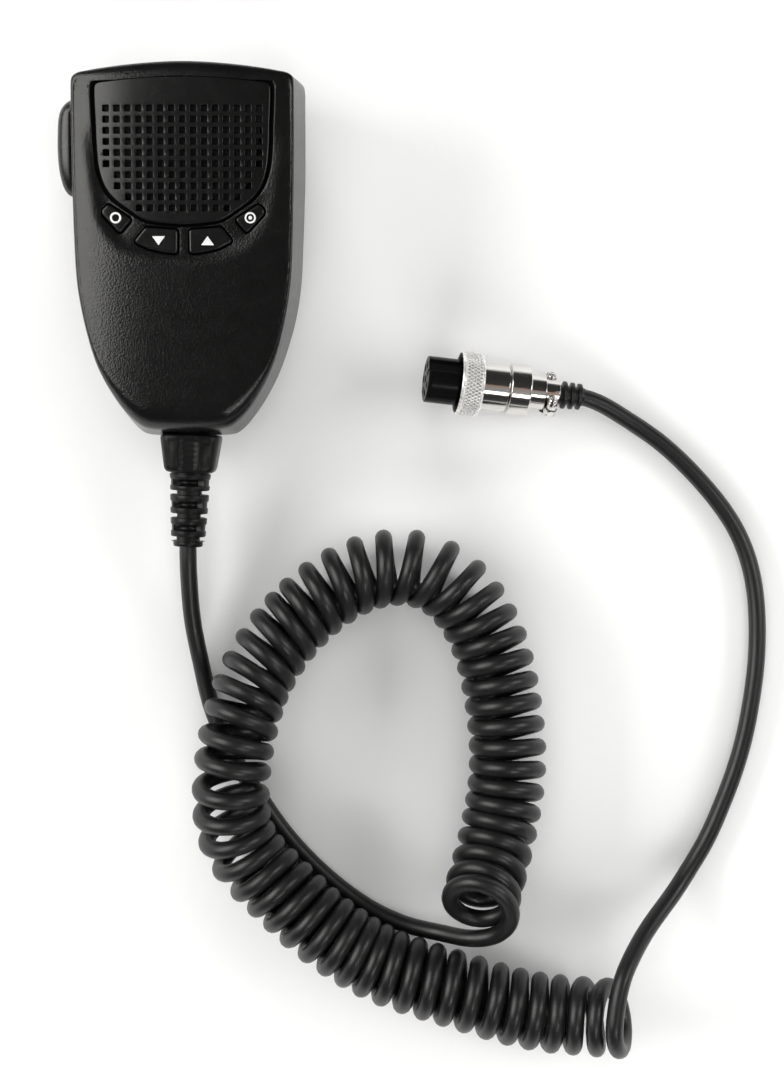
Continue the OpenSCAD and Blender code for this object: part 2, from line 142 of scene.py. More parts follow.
def spread(L, step):
    """closed loop with points added so that no side is longer than step"""
    out = []
    for i in range(len(L)):
        a, b = L[i], L[(i + 1) % len(L)]
        k = max(1, int(math.ceil(np.linalg.norm(b - a) / step)))
        out += [a + (b - a) * j / k for j in range(k)]
    return np.array(out)


def inside(P, poly):
    x, y = P[:, 0], P[:, 1]
    hit = np.zeros(len(P), bool)
    n = len(poly)
    for i in range(n):
        x0, y0 = poly[i]
        x1, y1 = poly[(i + 1) % n]
        if y0 == y1:
            continue
        cross = ((y0 > y) != (y1 > y)) & (x < (x1 - x0) * (y - y0) / (y1 - y0) + x0)
        hit ^= cross
    return hit


def fill(outer, holes, step=None):
    """triangles between a loop and its holes: (points, triangles); the loops' points come first, in order"""
    loops = [np.asarray(outer, float)] + [np.asarray(h, float) for h in holes]
    pts = np.concatenate(loops)
    edges = []
    n0 = 0
    for l in loops:
        m = len(l)
        edges += [(n0 + i, n0 + (i + 1) % m) for i in range(m)]
        n0 += m
    if step:
        lo, hi = loops[0].min(0), loops[0].max(0)
        rows = []
        for j, y in enumerate(np.arange(lo[1] + step * 0.43, hi[1], step * 0.866)):
            x = np.arange(lo[0] + (step * 0.5 if j % 2 else 0), hi[0], step)
            rows.append(np.stack([x, np.full(len(x), y)], 1))
        g = np.concatenate(rows)
        keep = inside(g, loops[0])
        for h in loops[1:]:
            keep &= ~inside(g, h)
        g = g[keep]
        near = np.full(len(g), 1e9)
        for k in range(0, len(pts), 200):
            near = np.minimum(near, np.linalg.norm(g[:, None, :] - pts[None, k:k + 200], axis=2).min(1))
        g = g[near > 0.55 * step]
        pts = np.concatenate([pts, g])
    V, _, F, ov, _, _ = delaunay_2d_cdt([Vector(p) for p in pts], edges, [], 0, 1e-6)
    back = [o[0] if len(o) else -1 for o in ov]
    tri = np.array([[back[i] for i in f] for f in F if len(f) == 3 and all(back[i] >= 0 for i in f)])
    mid = pts[tri].mean(1)
    keep = inside(mid, loops[0])
    for h in loops[1:]:
        keep &= ~inside(mid, h)
    return pts, tri[keep].tolist()


class Build:
    """vertices and faces of one piece, in its own millimetre frame"""

    def __init__(self):
        self.v = []
        self.f = []

    def add(self, P):
        n = len(self.v)
        self.v += [tuple(float(c) for c in p) for p in P]
        return list(range(n, n + len(P)))

    def strip(self, a, b, closed=True, skip=None):
        n = len(a)
        for i in range(n if closed else n - 1):
            if skip and skip(i):
                continue
            j = (i + 1) % n
            self.f.append((a[i], a[j], b[j], b[i]))

    def cap(self, ring):
        self.f.append(tuple(ring))

    def rows(self, rings, closed=True):
        ids = [self.add(r) for r in rings]
        for a, b in zip(ids, ids[1:]):
            self.strip(a, b, closed)
        return ids

    def face(self, pts, tri, loops, z):
        """a filled face whose border loops are rings that exist already; z gives the other points' heights"""
        n = sum(len(l) for l in loops)
        ids = [i for l in loops for i in l]
        extra = np.asarray(pts[n:], float)
        if len(extra):
            zz = z(extra[:, 0], extra[:, 1]) if callable(z) else np.full(len(extra), z)
            ids += self.add(np.column_stack([extra, zz]))
        self.f += [tuple(ids[i] for i in t) for t in tri]


def ring3(L, z):
    L = np.asarray(L, float)
    return np.column_stack([L, z if np.ndim(z) else np.full(len(L), z)])


def circle(c, r, n=32, phase=0.0):
    a = -2 * np.pi * np.arange(n) / n + phase
    return np.stack([c[0] + r * np.cos(a), c[1] + r * np.sin(a)], 1)


def soft(profile, c, seg=3):
    """open profile with its corners rounded"""
    P = [np.array(p, float) for p in profile]
    out = [P[0]]
    for i in range(1, len(P) - 1):
        a, b, d = P[i - 1], P[i], P[i + 1]
        e, f = a - b, d - b
        le, lf = np.linalg.norm(e), np.linalg.norm(f)
        k = min(c, 0.45 * le, 0.45 * lf)
        p, q = b + e / le * k, b + f / lf * k
        for s in np.linspace(0, 1, seg + 1):
            out.append((1 - s) ** 2 * p + 2 * s * (1 - s) * b + s * s * q)
    out.append(P[-1])
    return out


def lathe(b, profile, n=72, wobble=None):
    """turns a profile of (place along, radius) round the first axis; radius 0 at an end closes it"""
    ang = 2 * np.pi * np.arange(n) / n
    prev = None
    for u, r in profile:
        if r < 1e-6:
            cur = b.add([(u, 0, 0)])
        else:
            rr = r if wobble is None else r + wobble(u, ang)
            cur = b.add(np.column_stack([np.full(n, u), rr * np.cos(ang), rr * np.sin(ang)]))
        if prev is not None:
            if len(prev) == 1 and len(cur) > 1:
                b.f += [(prev[0], cur[i], cur[(i + 1) % n]) for i in range(n)]
            elif len(cur) == 1 and len(prev) > 1:
                b.f += [(prev[i], cur[0], prev[(i + 1) % n]) for i in range(n)]
            elif len(cur) > 1:
                b.strip(prev, cur)
        prev = cur
    return b


def piece(name, b, place, mat, body, replaces=(), weighted=True, join=True):
    """makes the object, in the row frame, riding on its body"""
    me = bpy.data.meshes.new(name)
    me.from_pydata([tuple(p) for p in place(b.v)], [], b.f)
    bm = bmesh.new()
    bm.from_mesh(me)
    if join:
        bmesh.ops.remove_doubles(bm, verts=bm.verts, dist=1e-7)
    bmesh.ops.recalc_face_normals(bm, faces=bm.faces)
    bm.to_mesh(me)
    bm.free()
    for p in me.polygons:
        p.use_smooth = True
    me.materials.append(mat)
    o = bpy.data.objects.new(name, me)
    bpy.context.scene.collection.objects.link(o)
    if weighted:
        w = o.modifiers.new("even shading", "WEIGHTED_NORMAL")
        w.mode = "FACE_AREA"
        w.weight = 60
    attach(o, body)
    if replaces:
        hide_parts(*([replaces] if isinstance(replaces, str) else replaces))
    return o


def smoothstep(x):
    x = np.clip(x, 0, 1)
    return x * x * (3 - 2 * x)


# ------------------------------------------------------------------ materials
class Nodes:
    def __init__(self, name):
        self.m = bpy.data.materials.new(name)
        self.m.use_nodes = True
        self.t = self.m.node_tree
        self.p = self.t.nodes["Principled BSDF"]
        self.co = self.t.nodes.new("ShaderNodeTexCoord").outputs["Object"]

    def new(self, kind, **kw):
        n = self.t.nodes.new(kind)
        for k, v in kw.items():
            setattr(n, k, v)
        return n

    def link(self, a, b):
        self.t.links.new(a, b)

    def place(self, scale=(1, 1, 1), rot=(0, 0, 0), loc=(0, 0, 0)):
        n = self.new("ShaderNodeMapping")
        n.inputs["Scale"].default_value = scale
        n.inputs["Rotation"].default_value = rot
        n.inputs["Location"].default_value = loc
        self.link(self.co, n.inputs["Vector"])
        return n.outputs["Vector"]

    def noise(self, scale, detail=3.0, rough=0.55, vec=None, distort=0.0):
        n = self.new("ShaderNodeTexNoise")
        n.inputs["Scale"].default_value = scale
        n.inputs["Detail"].default_value = detail
        n.inputs["Roughness"].default_value = rough
        n.inputs["Distortion"].default_value = distort
        self.link(vec or self.co, n.inputs["Vector"])
        return n.outputs["Fac"]

    def cells(self, scale, vec=None, feature="F1", smooth=0.4):
        n = self.new("ShaderNodeTexVoronoi", feature=feature)
        n.inputs["Scale"].default_value = scale
        if feature == "SMOOTH_F1":
            n.inputs["Smoothness"].default_value = smooth
        self.link(vec or self.co, n.inputs["Vector"])
        return n.outputs["Distance"]

    def ramp(self, fac, stops):
        n = self.new("ShaderNodeValToRGB")
        el = n.color_ramp.elements
        while len(el) > 1:
            el.remove(el[-1])
        el[0].position, el[0].color = stops[0][0], (*stops[0][1], 1)
        for pos, col in stops[1:]:
            e = el.new(pos)
            e.color = (*col, 1)
        self.link(fac, n.inputs["Fac"])
        return n.outputs["Color"]

    def range(self, fac, a, b, lo=0.3, hi=0.7):
        n = self.new("ShaderNodeMapRange")
        n.inputs["From Min"].default_value = lo
        n.inputs["From Max"].default_value = hi
        n.inputs["To Min"].default_value = a
        n.inputs["To Max"].default_value = b
        self.link(fac, n.inputs["Value"])
        return n.outputs["Result"]

    def bump(self, height, strength, distance, normal=None):
        n = self.new("ShaderNodeBump")
        n.inputs["Strength"].default_value = strength
        n.inputs["Distance"].default_value = distance
        self.link(height, n.inputs["Height"])
        if normal:
            self.link(normal, n.inputs["Normal"])
        return n.outputs["Normal"]

    def math(self, op, a, b):
        n = self.new("ShaderNodeMath", operation=op)
        for i, v in enumerate((a, b)):
            if isinstance(v, (int, float)):
                n.inputs[i].default_value = v
            else:
                self.link(v, n.inputs[i])
        return n.outputs["Value"]


def tint(c, k):
    return tuple(min(1.0, x * k) for x in c)


def moulded(name, base, rough, cell=0.5, depth=0.05, spread_=0.08, vary=0.18, fine=0.25, spec=0.5, crown=0.0):
    """moulded plastic: leathery grain of the cell size (mm), with faint handling marks; crown is the fall of the face at 26 mm to the left of its middle (mm)"""
    n = Nodes(name)
    wob = n.noise(220, 2.0)
    broad = n.noise(70, 3.0, 0.6)
    n.link(n.ramp(broad, [(0.3, tint(base, 1 - vary)), (0.55, base), (0.75, tint(base, 1 + vary))]), n.p.inputs["Base Color"])
    marks = n.noise(420, 4.0, 0.7)
    n.link(n.range(n.math("ADD", n.math("MULTIPLY", wob, 0.6), n.math("MULTIPLY", marks, 0.4)), rough - spread_, rough + spread_), n.p.inputs["Roughness"])
    grain = n.cells(1000 / cell, n.place(), "SMOOTH_F1", 0.5)
    tiny = n.noise(1000 / (cell * 0.45), 2.0, 0.6)
    h = n.math("ADD", grain, n.math("MULTIPLY", tiny, fine))
    fall = None
    if crown:
        sep_ = n.new("ShaderNodeSeparateXYZ")
        n.link(n.place(scale=(1 / 0.026, 1, 1), loc=(-0.002 / 0.026, 0, 0)), sep_.inputs["Vector"])
        left = n.math("MINIMUM", sep_.outputs["X"], 0.0)
        x2 = n.math("MULTIPLY", left, left)
        fall = n.bump(n.math("MULTIPLY", n.math("MULTIPLY", x2, x2), -1.0), 1.0, crown * MM)
    n.link(n.bump(h, 1.0, depth * MM, fall), n.p.inputs["Normal"])
    n.p.inputs["Specular IOR Level"].default_value = spec
    return n.m


def metal(name, base, rough, turned=0.0, spread_=0.05, vary=0.06, axis=None, pure=1.0):
    """plated metal, with fine turning lines along an axis where it is turned"""
    n = Nodes(name)
    n.p.inputs["Metallic"].default_value = pure
    broad = n.noise(160, 4.0, 0.65)
    n.link(n.ramp(broad, [(0.3, tint(base, 1 - vary)), (0.6, base), (0.8, tint(base, 1 + vary * 0.4))]), n.p.inputs["Base Color"])
    n.link(n.range(n.noise(700, 5.0, 0.7), rough - spread_, rough + spread_), n.p.inputs["Roughness"])
    if turned and axis is not None:
        vec = n.place(scale=(9000, 60, 60), rot=axis)
        lines = n.noise(1.0, 2.0, 0.5, vec)
        n.link(n.bump(lines, 0.35, turned * MM), n.p.inputs["Normal"])
    else:
        n.link(n.bump(n.noise(2500, 3.0), 0.15, 0.01 * MM), n.p.inputs["Normal"])
    return n.m


def simple(name, base, rough, scale=900, depth=0.02, vary=0.15, coat=0.0):
    """plain moulded or painted surface with a fine texture"""
    n = Nodes(name)
    n.link(n.ramp(n.noise(scale * 0.3, 3.0), [(0.3, tint(base, 1 - vary)), (0.7, tint(base, 1 + vary * 0.5))]), n.p.inputs["Base Color"])
    n.link(n.range(n.noise(scale * 0.6, 3.0), max(0.05, rough - 0.06), rough + 0.06), n.p.inputs["Roughness"])
    n.link(n.bump(n.noise(scale, 3.0), 0.4, depth * MM), n.p.inputs["Normal"])
    if coat:
        n.p.inputs["Coat Weight"].default_value = coat
        n.p.inputs["Coat Roughness"].default_value = 0.15
    return n.m


plug_inv = Matrix(((PX[0], PY[0], PZ[0]), (PX[1], PY[1], PZ[1]), (PX[2], PY[2], PZ[2]))).transposed()
PLUG_ROT = tuple(plug_inv.to_euler("XYZ"))

M_CASE = moulded("case_plastic", (0.0034, 0.0032, 0.0031), 0.25, cell=0.5, depth=0.052, spread_=0.03, vary=0.08, crown=1.25)
M_GRILLE = moulded("grille_plastic", (0.0034, 0.0033, 0.0032), 0.26, cell=0.30, depth=0.018, spread_=0.03, vary=0.08, crown=1.6)
# painted shade: near-black, barely reflecting plastic for the groove round the grille and the panel's edge, standing in
# for the shade in the gap
M_GROOVE_SHADE = moulded("groove_painted_shade", (0.0016, 0.0015, 0.0015), 0.55, cell=0.5, depth=0.01, spread_=0.05, vary=0.1, spec=0.06)
M_KEY = moulded("key_plastic", (0.0046, 0.0045, 0.0045), 0.24, cell=0.35, depth=0.012, spread_=0.05, vary=0.10)
M_BAR = moulded("talk_bar_plastic", (0.005, 0.0049, 0.0048), 0.27, cell=0.4, depth=0.012, spread_=0.05, vary=0.10, spec=0.62)
M_RELIEF = moulded("relief_rubber", (0.0044, 0.0043, 0.0042), 0.36, cell=0.35, depth=0.015, vary=0.12, spec=0.28)
M_CABLE = moulded("cable_jacket", (0.005, 0.0049, 0.0049), 0.40, cell=0.45, depth=0.012, spread_=0.06, vary=0.18, spec=0.62)
M_BOOT = moulded("boot_rubber", (0.0056, 0.0055, 0.0054), 0.38, cell=0.3, depth=0.015)
M_LEGEND = simple("legend_paint", (0.74, 0.74, 0.72), 0.5, scale=4000, depth=0.004, vary=0.06)
M_PLUG = metal("plug_nickel", (0.82, 0.80, 0.765), 0.12, turned=0.010, axis=PLUG_ROT, spread_=0.03)
# painted shade: dark grey metal for the ring's inside, standing in for the shade in its threaded bore
M_BORE_SHADE = metal("bore_painted_shade", (0.10, 0.095, 0.09), 0.45)
M_RING = metal("ring_nickel", (0.84, 0.83, 0.81), 0.26, spread_=0.06, pure=0.6)
# painted shade: darker metal for the knurl's valleys, standing in for the shade between the diamonds
M_KNURL_SHADE = metal("knurl_valley_painted_shade", (0.17, 0.16, 0.15), 0.4, spread_=0.06)
M_SCREW = metal("screw_nickel", (0.78, 0.77, 0.75), 0.2)
M_STUD = metal("stud_nickel", (0.78, 0.775, 0.765), 0.2)
M_STEEL = metal("screw_steel_zinc", (0.56, 0.57, 0.58), 0.32)
M_NOSE = moulded("insulator_plastic", (0.0036, 0.0036, 0.0038), 0.24, cell=0.4, depth=0.008, spread_=0.04, vary=0.1, spec=0.07)
M_CONTACT = metal("contact_silver", (0.86, 0.83, 0.76), 0.2)
M_SCREEN = simple("dust_screen_mesh", (0.006, 0.006, 0.006), 0.9, scale=3000, depth=0.1)
M_CAN = metal("capsule_can", (0.72, 0.73, 0.74), 0.3)
M_RUBBER = simple("capsule_rubber", (0.02, 0.02, 0.021), 0.7, scale=1500, depth=0.05)
M_BOARD = simple("board_mask", (0.018, 0.13, 0.055), 0.4, scale=800, depth=0.02, vary=0.3)
M_SWITCH = simple("switch_plastic", (0.035, 0.035, 0.037), 0.5)
M_HEADER = simple("header_plastic", (0.70, 0.66, 0.54), 0.5)
M_WIRE = simple("wire_sleeve", (0.36, 0.08, 0.07), 0.4)
M_PLUNGER = simple("plunger_plastic", (0.68, 0.66, 0.6), 0.45)


def show(node, mat, bevel=0.0):
    o = NODE[node]
    o.data.materials.clear()
    o.data.materials.append(mat)
    if bevel:
        m = o.modifiers.new("edge", "BEVEL")
        m.width = bevel * MM
        m.segments = 2
        m.limit_method = "ANGLE"
        m.angle_limit = math.radians(40)


for n_, m_ in (("dust_screen", M_SCREEN), ("mic_capsule", M_CAN), ("capsule_boot", M_RUBBER), ("circuit_board", M_BOARD),
               ("key_switches", M_SWITCH), ("ptt_switch", M_SWITCH), ("wire_header", M_HEADER), ("lead_wires", M_WIRE),
               ("board_screws", M_STEEL), ("case_screws", M_STEEL), ("hanger_screw", M_STEEL), ("hanger_nut", M_STEEL),
               ("ptt_pin", M_STEEL), ("ptt_plunger", M_PLUNGER), ("plunger_left", M_PLUNGER), ("plunger_down", M_PLUNGER),
               ("plunger_up", M_PLUNGER), ("plunger_right", M_PLUNGER), ("plug_contacts", M_CONTACT)):
    show(n_, m_)

# ------------------------------------------------------------------ camera and floor
cam = bpy.data.cameras.new("camera")
cam.lens = 57.3
cam.clip_start = 0.01
cam.clip_end = 20
cam_o = bpy.data.objects.new("camera", cam)
bpy.context.scene.collection.objects.link(cam_o)
cam_o.location = (0.0582, -0.0809, 0.500)
bpy.context.scene.camera = cam_o

# ------------------------------------------------------------------ cord
COIL = [[82, -181, 19.5], [83.2, -177.6, 16.3], [84.7, -173, 13.7], [86.3, -167.4, 12],
        [87.9, -160.6, 11.2], [89.4, -152.6, 11], [90.2, -144, 11], [90.1, -136, 11],
        [89.3, -128, 11], [88, -120, 11], [85.8, -111, 11], [82.3, -102.8, 11],
        [76.8, -95, 11], [69.4, -89.6, 11], [60.4, -87.6, 11], [51.2, -88.9, 11],
        [43, -92.5, 11], [35.5, -97.8, 11], [28.6, -104.5, 11], [22.6, -112.5, 11.8],
        [18.2, -121, 13.6], [15.4, -130, 15.4], [13.6, -139, 16.2], [12.6, -148, 15.8],
        [12.6, -157, 14.2], [14.8, -165.5, 12.2], [20.2, -173, 11.1], [27.2, -179.8, 11],
        [35.2, -187.2, 11], [44.2, -193.9, 11], [54.2, -199.6, 11], [65.2, -203.7, 11],
        [77.2, -207.4, 11], [90, -211.2, 11], [102, -213.6, 11], [110.5, -214.2, 11.6],
        [116.5, -214.2, 13.2], [120.5, -214, 14.9], [123.2, -213.9, 16.2]]
MIC_TAIL = [[0.2, -94, 9.3], [1, -105, 5.9], [3, -116, 3.5], [5.2, -126, 2.5],
            [8.5, -135, 2.5], [13, -144, 2.5], [19, -153, 2.5], [26, -163, 2.5],
            [34, -172, 2.5], [43, -180, 2.5], [53, -186.6, 2.9], [64, -190.7, 4.6], [72, -191.9, 7.2]]
PLUG_TAIL = [[121.8, -200.5, 21.3], [124, -196.8, 18.6], [127, -192.8, 15], [130.4, -188.8, 11.6],
             [134.6, -184.4, 8.2], [138.6, -180, 5.4], [143, -174, 3.4], [147.4, -167, 2.6],
             [152, -157, 2.5], [156, -146.5, 2.5], [159, -136, 2.5], [161, -125.5, 2.5], [162.3, -115, 2.5],
             [162.6, -104.5, 2.5], [162, -95, 2.5], [160, -85.5, 2.5], [156.5, -77, 2.5], [150.5, -68, 2.5],
             [143, -59.5, 2.5], [134, -51.3, 2.5], [124, -44.6, 3.2]]
# the whole route lies a little to the side of the body's own middle
ROUTE_X = 0.6
COIL, MIC_TAIL, PLUG_TAIL = (np.array(p, float) + [ROUTE_X, 0, 0] for p in (COIL, MIC_TAIL, PLUG_TAIL))
# step along the axis from the top of one turn to the next, and the first top
TURNS = [6.5, 6.4, 6.1, 5.4, 5, 5.2, 5.6, 5.8, 6, 5.9, 5.8, 6, 6, 5.9, 5.7, 6.2, 7, 7.8, 6.9, 6.5, 6.5, 6.4,
         6.1, 6.3, 6.5, 6.5, 5.9, 5.7, 5.6, 5.6, 5.8, 6.1, 6.8, 7, 7.8, 7.4, 6.4, 5.9, 5.8, 6, 5.7, 5.1, 5, 5.3,
         5.8, 5.8, 5.8, 5.8, 5.8, 5.9, 6, 5.9, 6.2, 7, 7.9]
FIRST_TOP = 0.9
# how far each side of a turn leads along the axis
SLANT = [[-10, 0.2], [5, 0.1], [18, 0.4], [35, 1], [65, 1], [95, 0.2], [110, -0.45], [135, -0.4], [140, -0.3], [149, -0.95],
         [157, -1.1], [167, -0.5], [176, 0.1], [183, 0.4], [189, 0.6], [195, 1.1], [205, 0.9], [213, 0.3], [221, 0.1],
         [228, 0], [236, 0.5], [270, 1.7], [295, 1.9], [316, 1], [328, 0.4], [350, 0.2]]
# how far the top of a turn leads its axis, and how far turns are crowded along it
PITCH = [[-10, 1.2], [0, 1.5], [4.4, 1.7], [7.7, 3.3], [11, 2.4], [14, 2.2], [18, 1.9], [23, 1.4], [30, 0.8], [40, 0.3],
         [75, 0], [95, -1.1], [110, -1.5], [143, -1.3], [155, -0.75], [170, -0.5], [185, -0.1], [198, 0.2], [207, 0],
         [216, -0.3], [230, -0.4], [260, -0.3], [300, 0], [350, 0]]
CROWD = [[-10, 2.2], [-3, 0.8], [1, -1.7], [7, -2.9], [14, -2.7], [20, -2.3], [26, -1.6], [40, -0.8], [60, -0.6], [80, -0.4],
         [95, 0.5], [110, 0.8], [140, 0.7], [149, -0.6], [157, -1.3], [167, -1.25], [176, -1.05], [183, 0.4], [189, 0.7],
         [195, 2.3], [205, 2.5], [213, 1.8], [221, 1], [228, 0.2], [236, 0], [288, 0], [300, 1.3], [330, 1.3], [338, 0]]
TURN_R = 8.55
CABLE_D = 4.9


def even(Q, step):
    L = np.r_[0, np.cumsum(np.linalg.norm(np.diff(Q, axis=0), axis=1))]
    s = np.linspace(0, L[-1], int(round(L[-1] / step)) + 1)
    return np.stack([np.interp(s, L, Q[:, i]) for i in range(3)], 1)


def spline(P, step):
    """natural cubic through P by chord length, resampled evenly"""
    P = np.asarray(P, float)
    d = np.r_[0, np.cumsum(np.linalg.norm(np.diff(P, axis=0), axis=1))]
    n = len(P)
    h = np.diff(d)
    A = np.zeros((n, n))
    B = np.zeros((n, 3))
    A[0, 0] = A[-1, -1] = 1
    for i in range(1, n - 1):
        A[i, i - 1], A[i, i], A[i, i + 1] = h[i - 1], 2 * (h[i - 1] + h[i]), h[i]
        B[i] = 6 * ((P[i + 1] - P[i]) / h[i] - (P[i] - P[i - 1]) / h[i - 1])
    M = np.linalg.solve(A, B)
    t = np.linspace(0, d[-1], int(d[-1] / (step / 8)) + 2)
    k = np.clip(np.searchsorted(d, t, side="right") - 1, 0, n - 2)
    hk, a, b = h[k][:, None], (d[k + 1] - t)[:, None], (t - d[k])[:, None]
    Q = (M[k] * a**3 + M[k + 1] * b**3) / (6 * hk) + (P[k] / hk - M[k] * hk / 6) * a + (P[k + 1] / hk - M[k + 1] * hk / 6) * b
    return even(Q, step)


def coil_line(per_turn=12, start=-80.0, end=110.0):
    A = spline(COIL, 0.25)
    L = np.r_[0, np.cumsum(np.linalg.norm(np.diff(A, axis=0), axis=1))]
    T = np.gradient(A, axis=0)
    T = np.stack([np.convolve(np.pad(T[:, i], 16, "edge"), np.ones(33) / 33, "valid") for i in range(3)], 1)
    T /= np.linalg.norm(T, axis=1)[:, None]
    top = FIRST_TOP + np.r_[0, np.cumsum(TURNS)]
    kk = np.arange(-1, len(top) + 1, dtype=float)
    tops = np.r_[top[0] - TURNS[0], top, top[-1] + TURNS[-1]]
    fine = np.linspace(-1, kk[-1], len(kk) * 72)
    sf = np.interp(fine, kk, tops)
    sf = np.convolve(np.pad(sf, 40, "reflect", reflect_type="odd"), np.ones(81) / 81, "valid")
    n0, n1 = (start - 90) / 360, len(top) - 1 + (end - 90) / 360
    turn = np.linspace(n0, n1, int((n1 - n0) * per_turn) + 1)
    s = np.interp(turn, fine, sf)
    s = s + np.interp(s, [y[0] for y in CROWD], [y[1] for y in CROWD])
    phi = 2 * math.pi * turn + math.pi / 2
    a = np.stack([np.interp(s, L, A[:, i]) for i in range(3)], 1)
    t = np.stack([np.interp(s, L, T[:, i]) for i in range(3)], 1)
    t /= np.linalg.norm(t, axis=1)[:, None]
    a += t * (np.minimum(s, 0) + np.maximum(s - L[-1], 0))[:, None]
    r = np.cross(t, [0, 0, 1.0])
    r /= np.linalg.norm(r, axis=1)[:, None]
    u = np.cross(r, t)
    lead = np.interp(s, [y[0] for y in SLANT], [y[1] for y in SLANT])
    tip = np.interp(s, [y[0] for y in PITCH], [y[1] for y in PITCH])
    # the first turn opens out towards the straight cable
    rad = TURN_R + 0.00022 * np.maximum(0, 60 - np.degrees(phi)) ** 2
    return a + rad[:, None] * (np.cos(phi)[:, None] * r + np.sin(phi)[:, None] * u) + t * (lead * np.cos(phi) + tip * np.sin(phi))[:, None]


relief_in = on_relief([[20, 0, 0], [RELIEF_L, 0, 0]]) / MM
boot_in = on_plug([[-36.2, 0, 0], [-32, 0, 0]]) / MM
knots = np.concatenate([relief_in, MIC_TAIL, coil_line(), PLUG_TAIL, boot_in])
LINE = even(spline(knots, 0.4), 1.5)
LINE[:, 2] = np.maximum(LINE[:, 2], CABLE_D / 2 + 0.01)


def tube(b, line, radius, sides):
    """round tube along a line, without twist; radius is a number or one for each point"""
    T = np.gradient(line, axis=0)
    T /= np.linalg.norm(T, axis=1)[:, None]
    u = np.cross(T[0], [0, 0, 1.0])
    u /= np.linalg.norm(u)
    ang = 2 * np.pi * np.arange(sides) / sides
    rad = np.full(len(line), radius) if np.ndim(radius) == 0 else np.asarray(radius, float)
    rings = []
    for p, t, r in zip(line, T, rad):
        u = u - t * (u @ t)
        u /= np.linalg.norm(u)
        w = np.cross(t, u)
        rings.append(p + r * (np.cos(ang)[:, None] * u + np.sin(ang)[:, None] * w))
    ids = b.rows(rings)
    b.cap(ids[0][::-1])
    b.cap(ids[-1])
    return b


def as_is(v):
    return np.asarray(v, float) * MM


cord = piece("cord", tube(Build(), LINE, CABLE_D / 2, 14), as_is, M_CABLE, "microphone",
             ("cord_mic_tail", "cord_coil", "cord_plug_tail"), weighted=False)

# ------------------------------------------------------------------ body outlines, right half from top to bottom
JOINT = [[0, 50.5], [10, 50.1], [20, 49], [27, 47.8], [30.4, 46.8], [31.8, 45.4], [32.2, 43], [32.2, 41.6], [32.2, 30],
         [32.1, 18], [31.97, 14.1], [31.6, 4], [30.9, -9], [29.5, -18], [27.3, -26], [25.2, -32], [23.2, -36.4],
         [21, -40.4], [18.2, -44.6], [15, -48.4], [12.8, -50], [10, -50.5], [4, -50.5], [0, -50.5]]
FACE = [[0, 49.7], [9.4, 49.3], [18.7, 48.3], [25.3, 47.2], [28.4, 46.4], [29.6, 45.3], [29.9, 43], [29.9, 41.6], [29.9, 30],
        [29.8, 18], [29.72, 14.1], [29.5, 4], [28.9, -9], [27.6, -17.6], [25.8, -25.4], [24, -31.3], [22.1, -35.6],
        [19.9, -39.5], [17.2, -43.5], [13.9, -46.9], [11.7, -48.3], [9.2, -48.9], [4, -49.2], [0, -49.3]]
# rounding of the face's edge, across and down
EDGE_W = [4.2, 4.2, 3.9, 3.0, 2.2, 1.6, 1.1, 1.0, 1.0, 1.0, 1.0, 1.0, 1.1, 1.2, 1.5, 2.1, 2.9, 3.9, 5.0, 6.0, 6.6, 7.0, 7.2, 7.2]
EDGE_H = [2.2, 2.2, 2.1, 1.8, 1.5, 1.3, 1.1, 1.0, 1.0, 1.0, 1.0, 1.0, 1.1, 1.2, 1.4, 1.9, 2.5, 3.2, 4.0, 4.6, 5.0, 5.2, 5.3, 5.3]
GRILLE = [[0, 45.7], [12, 45.2], [20, 44.4], [22.6, 44], [23.6, 43.2], [23.8, 42], [23.5, 33], [23.3, 27], [22.7, 21],
          [21.2, 16.4], [18.8, 13.1], [15, 10.2], [10.6, 7.4], [5.4, 6.4], [0, 6.1]]
OPENING = [[0, 43.5], [19.5, 42.5], [21.6, 41], [21.2, 33], [20.5, 27], [19.3, 21.4], [17.4, 16.6], [15.2, 13.8],
           [12.1, 11.2], [8.5, 9.3], [4.5, 8.4], [0, 8.1]]
DISH = [[0, 33], [25.5, 33], [25.3, 20], [24.3, 13.5], [22.7, 6.3], [17, -0.6], [8, -3.4], [0, -3.9]]
KEY_SMALL = [[17.1, 3.8], [21.8, 8.9], [21.9, 10.1], [20.2, 11.6], [13.9, 7.5]]
KEY_MID = [[1.6, -1.6], [5, -1.3], [9.5, -0.3], [13.4, 1.6], [10.2, 5.4], [1.5, 4.8]]
SMALL_AT, MID_AT = (18.3, 7.9), (7.2, 2.1)
CASE_POSTS = [(23.7, 40.6), (-23.7, 40.6), (15.5, -31), (-15.5, -31)]
SUB = 6
joint_l = catmull(mirrored(JOINT), SUB)
face_l = catmull(mirrored(FACE), SUB)
N = len(joint_l)
edge_w, edge_h = (np.interp(np.arange(N) / SUB, np.arange(47), [E[min(k % 46, 46 - k % 46)] for k in range(47)]) for E in (EDGE_W, EDGE_H))
# the left side's opening for the talk bar, by sample
W0, W1 = 36 * SUB, 39 * SUB
grille_l = catmull(mirrored(GRILLE), 5)
opening_l = catmull(mirrored(OPENING), 4)
dish_poly = catmull(mirrored(DISH), 6)


def flip(poly):
    return [[-x, y] for x, y in poly[::-1]]


def away(x, y, poly):
    """distance to a dense loop, positive inside"""
    P = np.stack([np.ravel(x), np.ravel(y)], 1)
    d = np.full(len(P), 1e9)
    for k in range(0, len(poly), 64):
        d = np.minimum(d, np.linalg.norm(P[:, None] - poly[None, k:k + 64], axis=2).min(1))
    return np.where(inside(P, poly), d, -d).reshape(np.shape(x))


dish_dense = spread(dish_poly, 0.4)


def crown(x, y):
    return 0.75 * np.abs(np.asarray(x) / 30.0) ** 2.2 + 0.3 * np.abs(np.asarray(y) / 48.0) ** 2.5


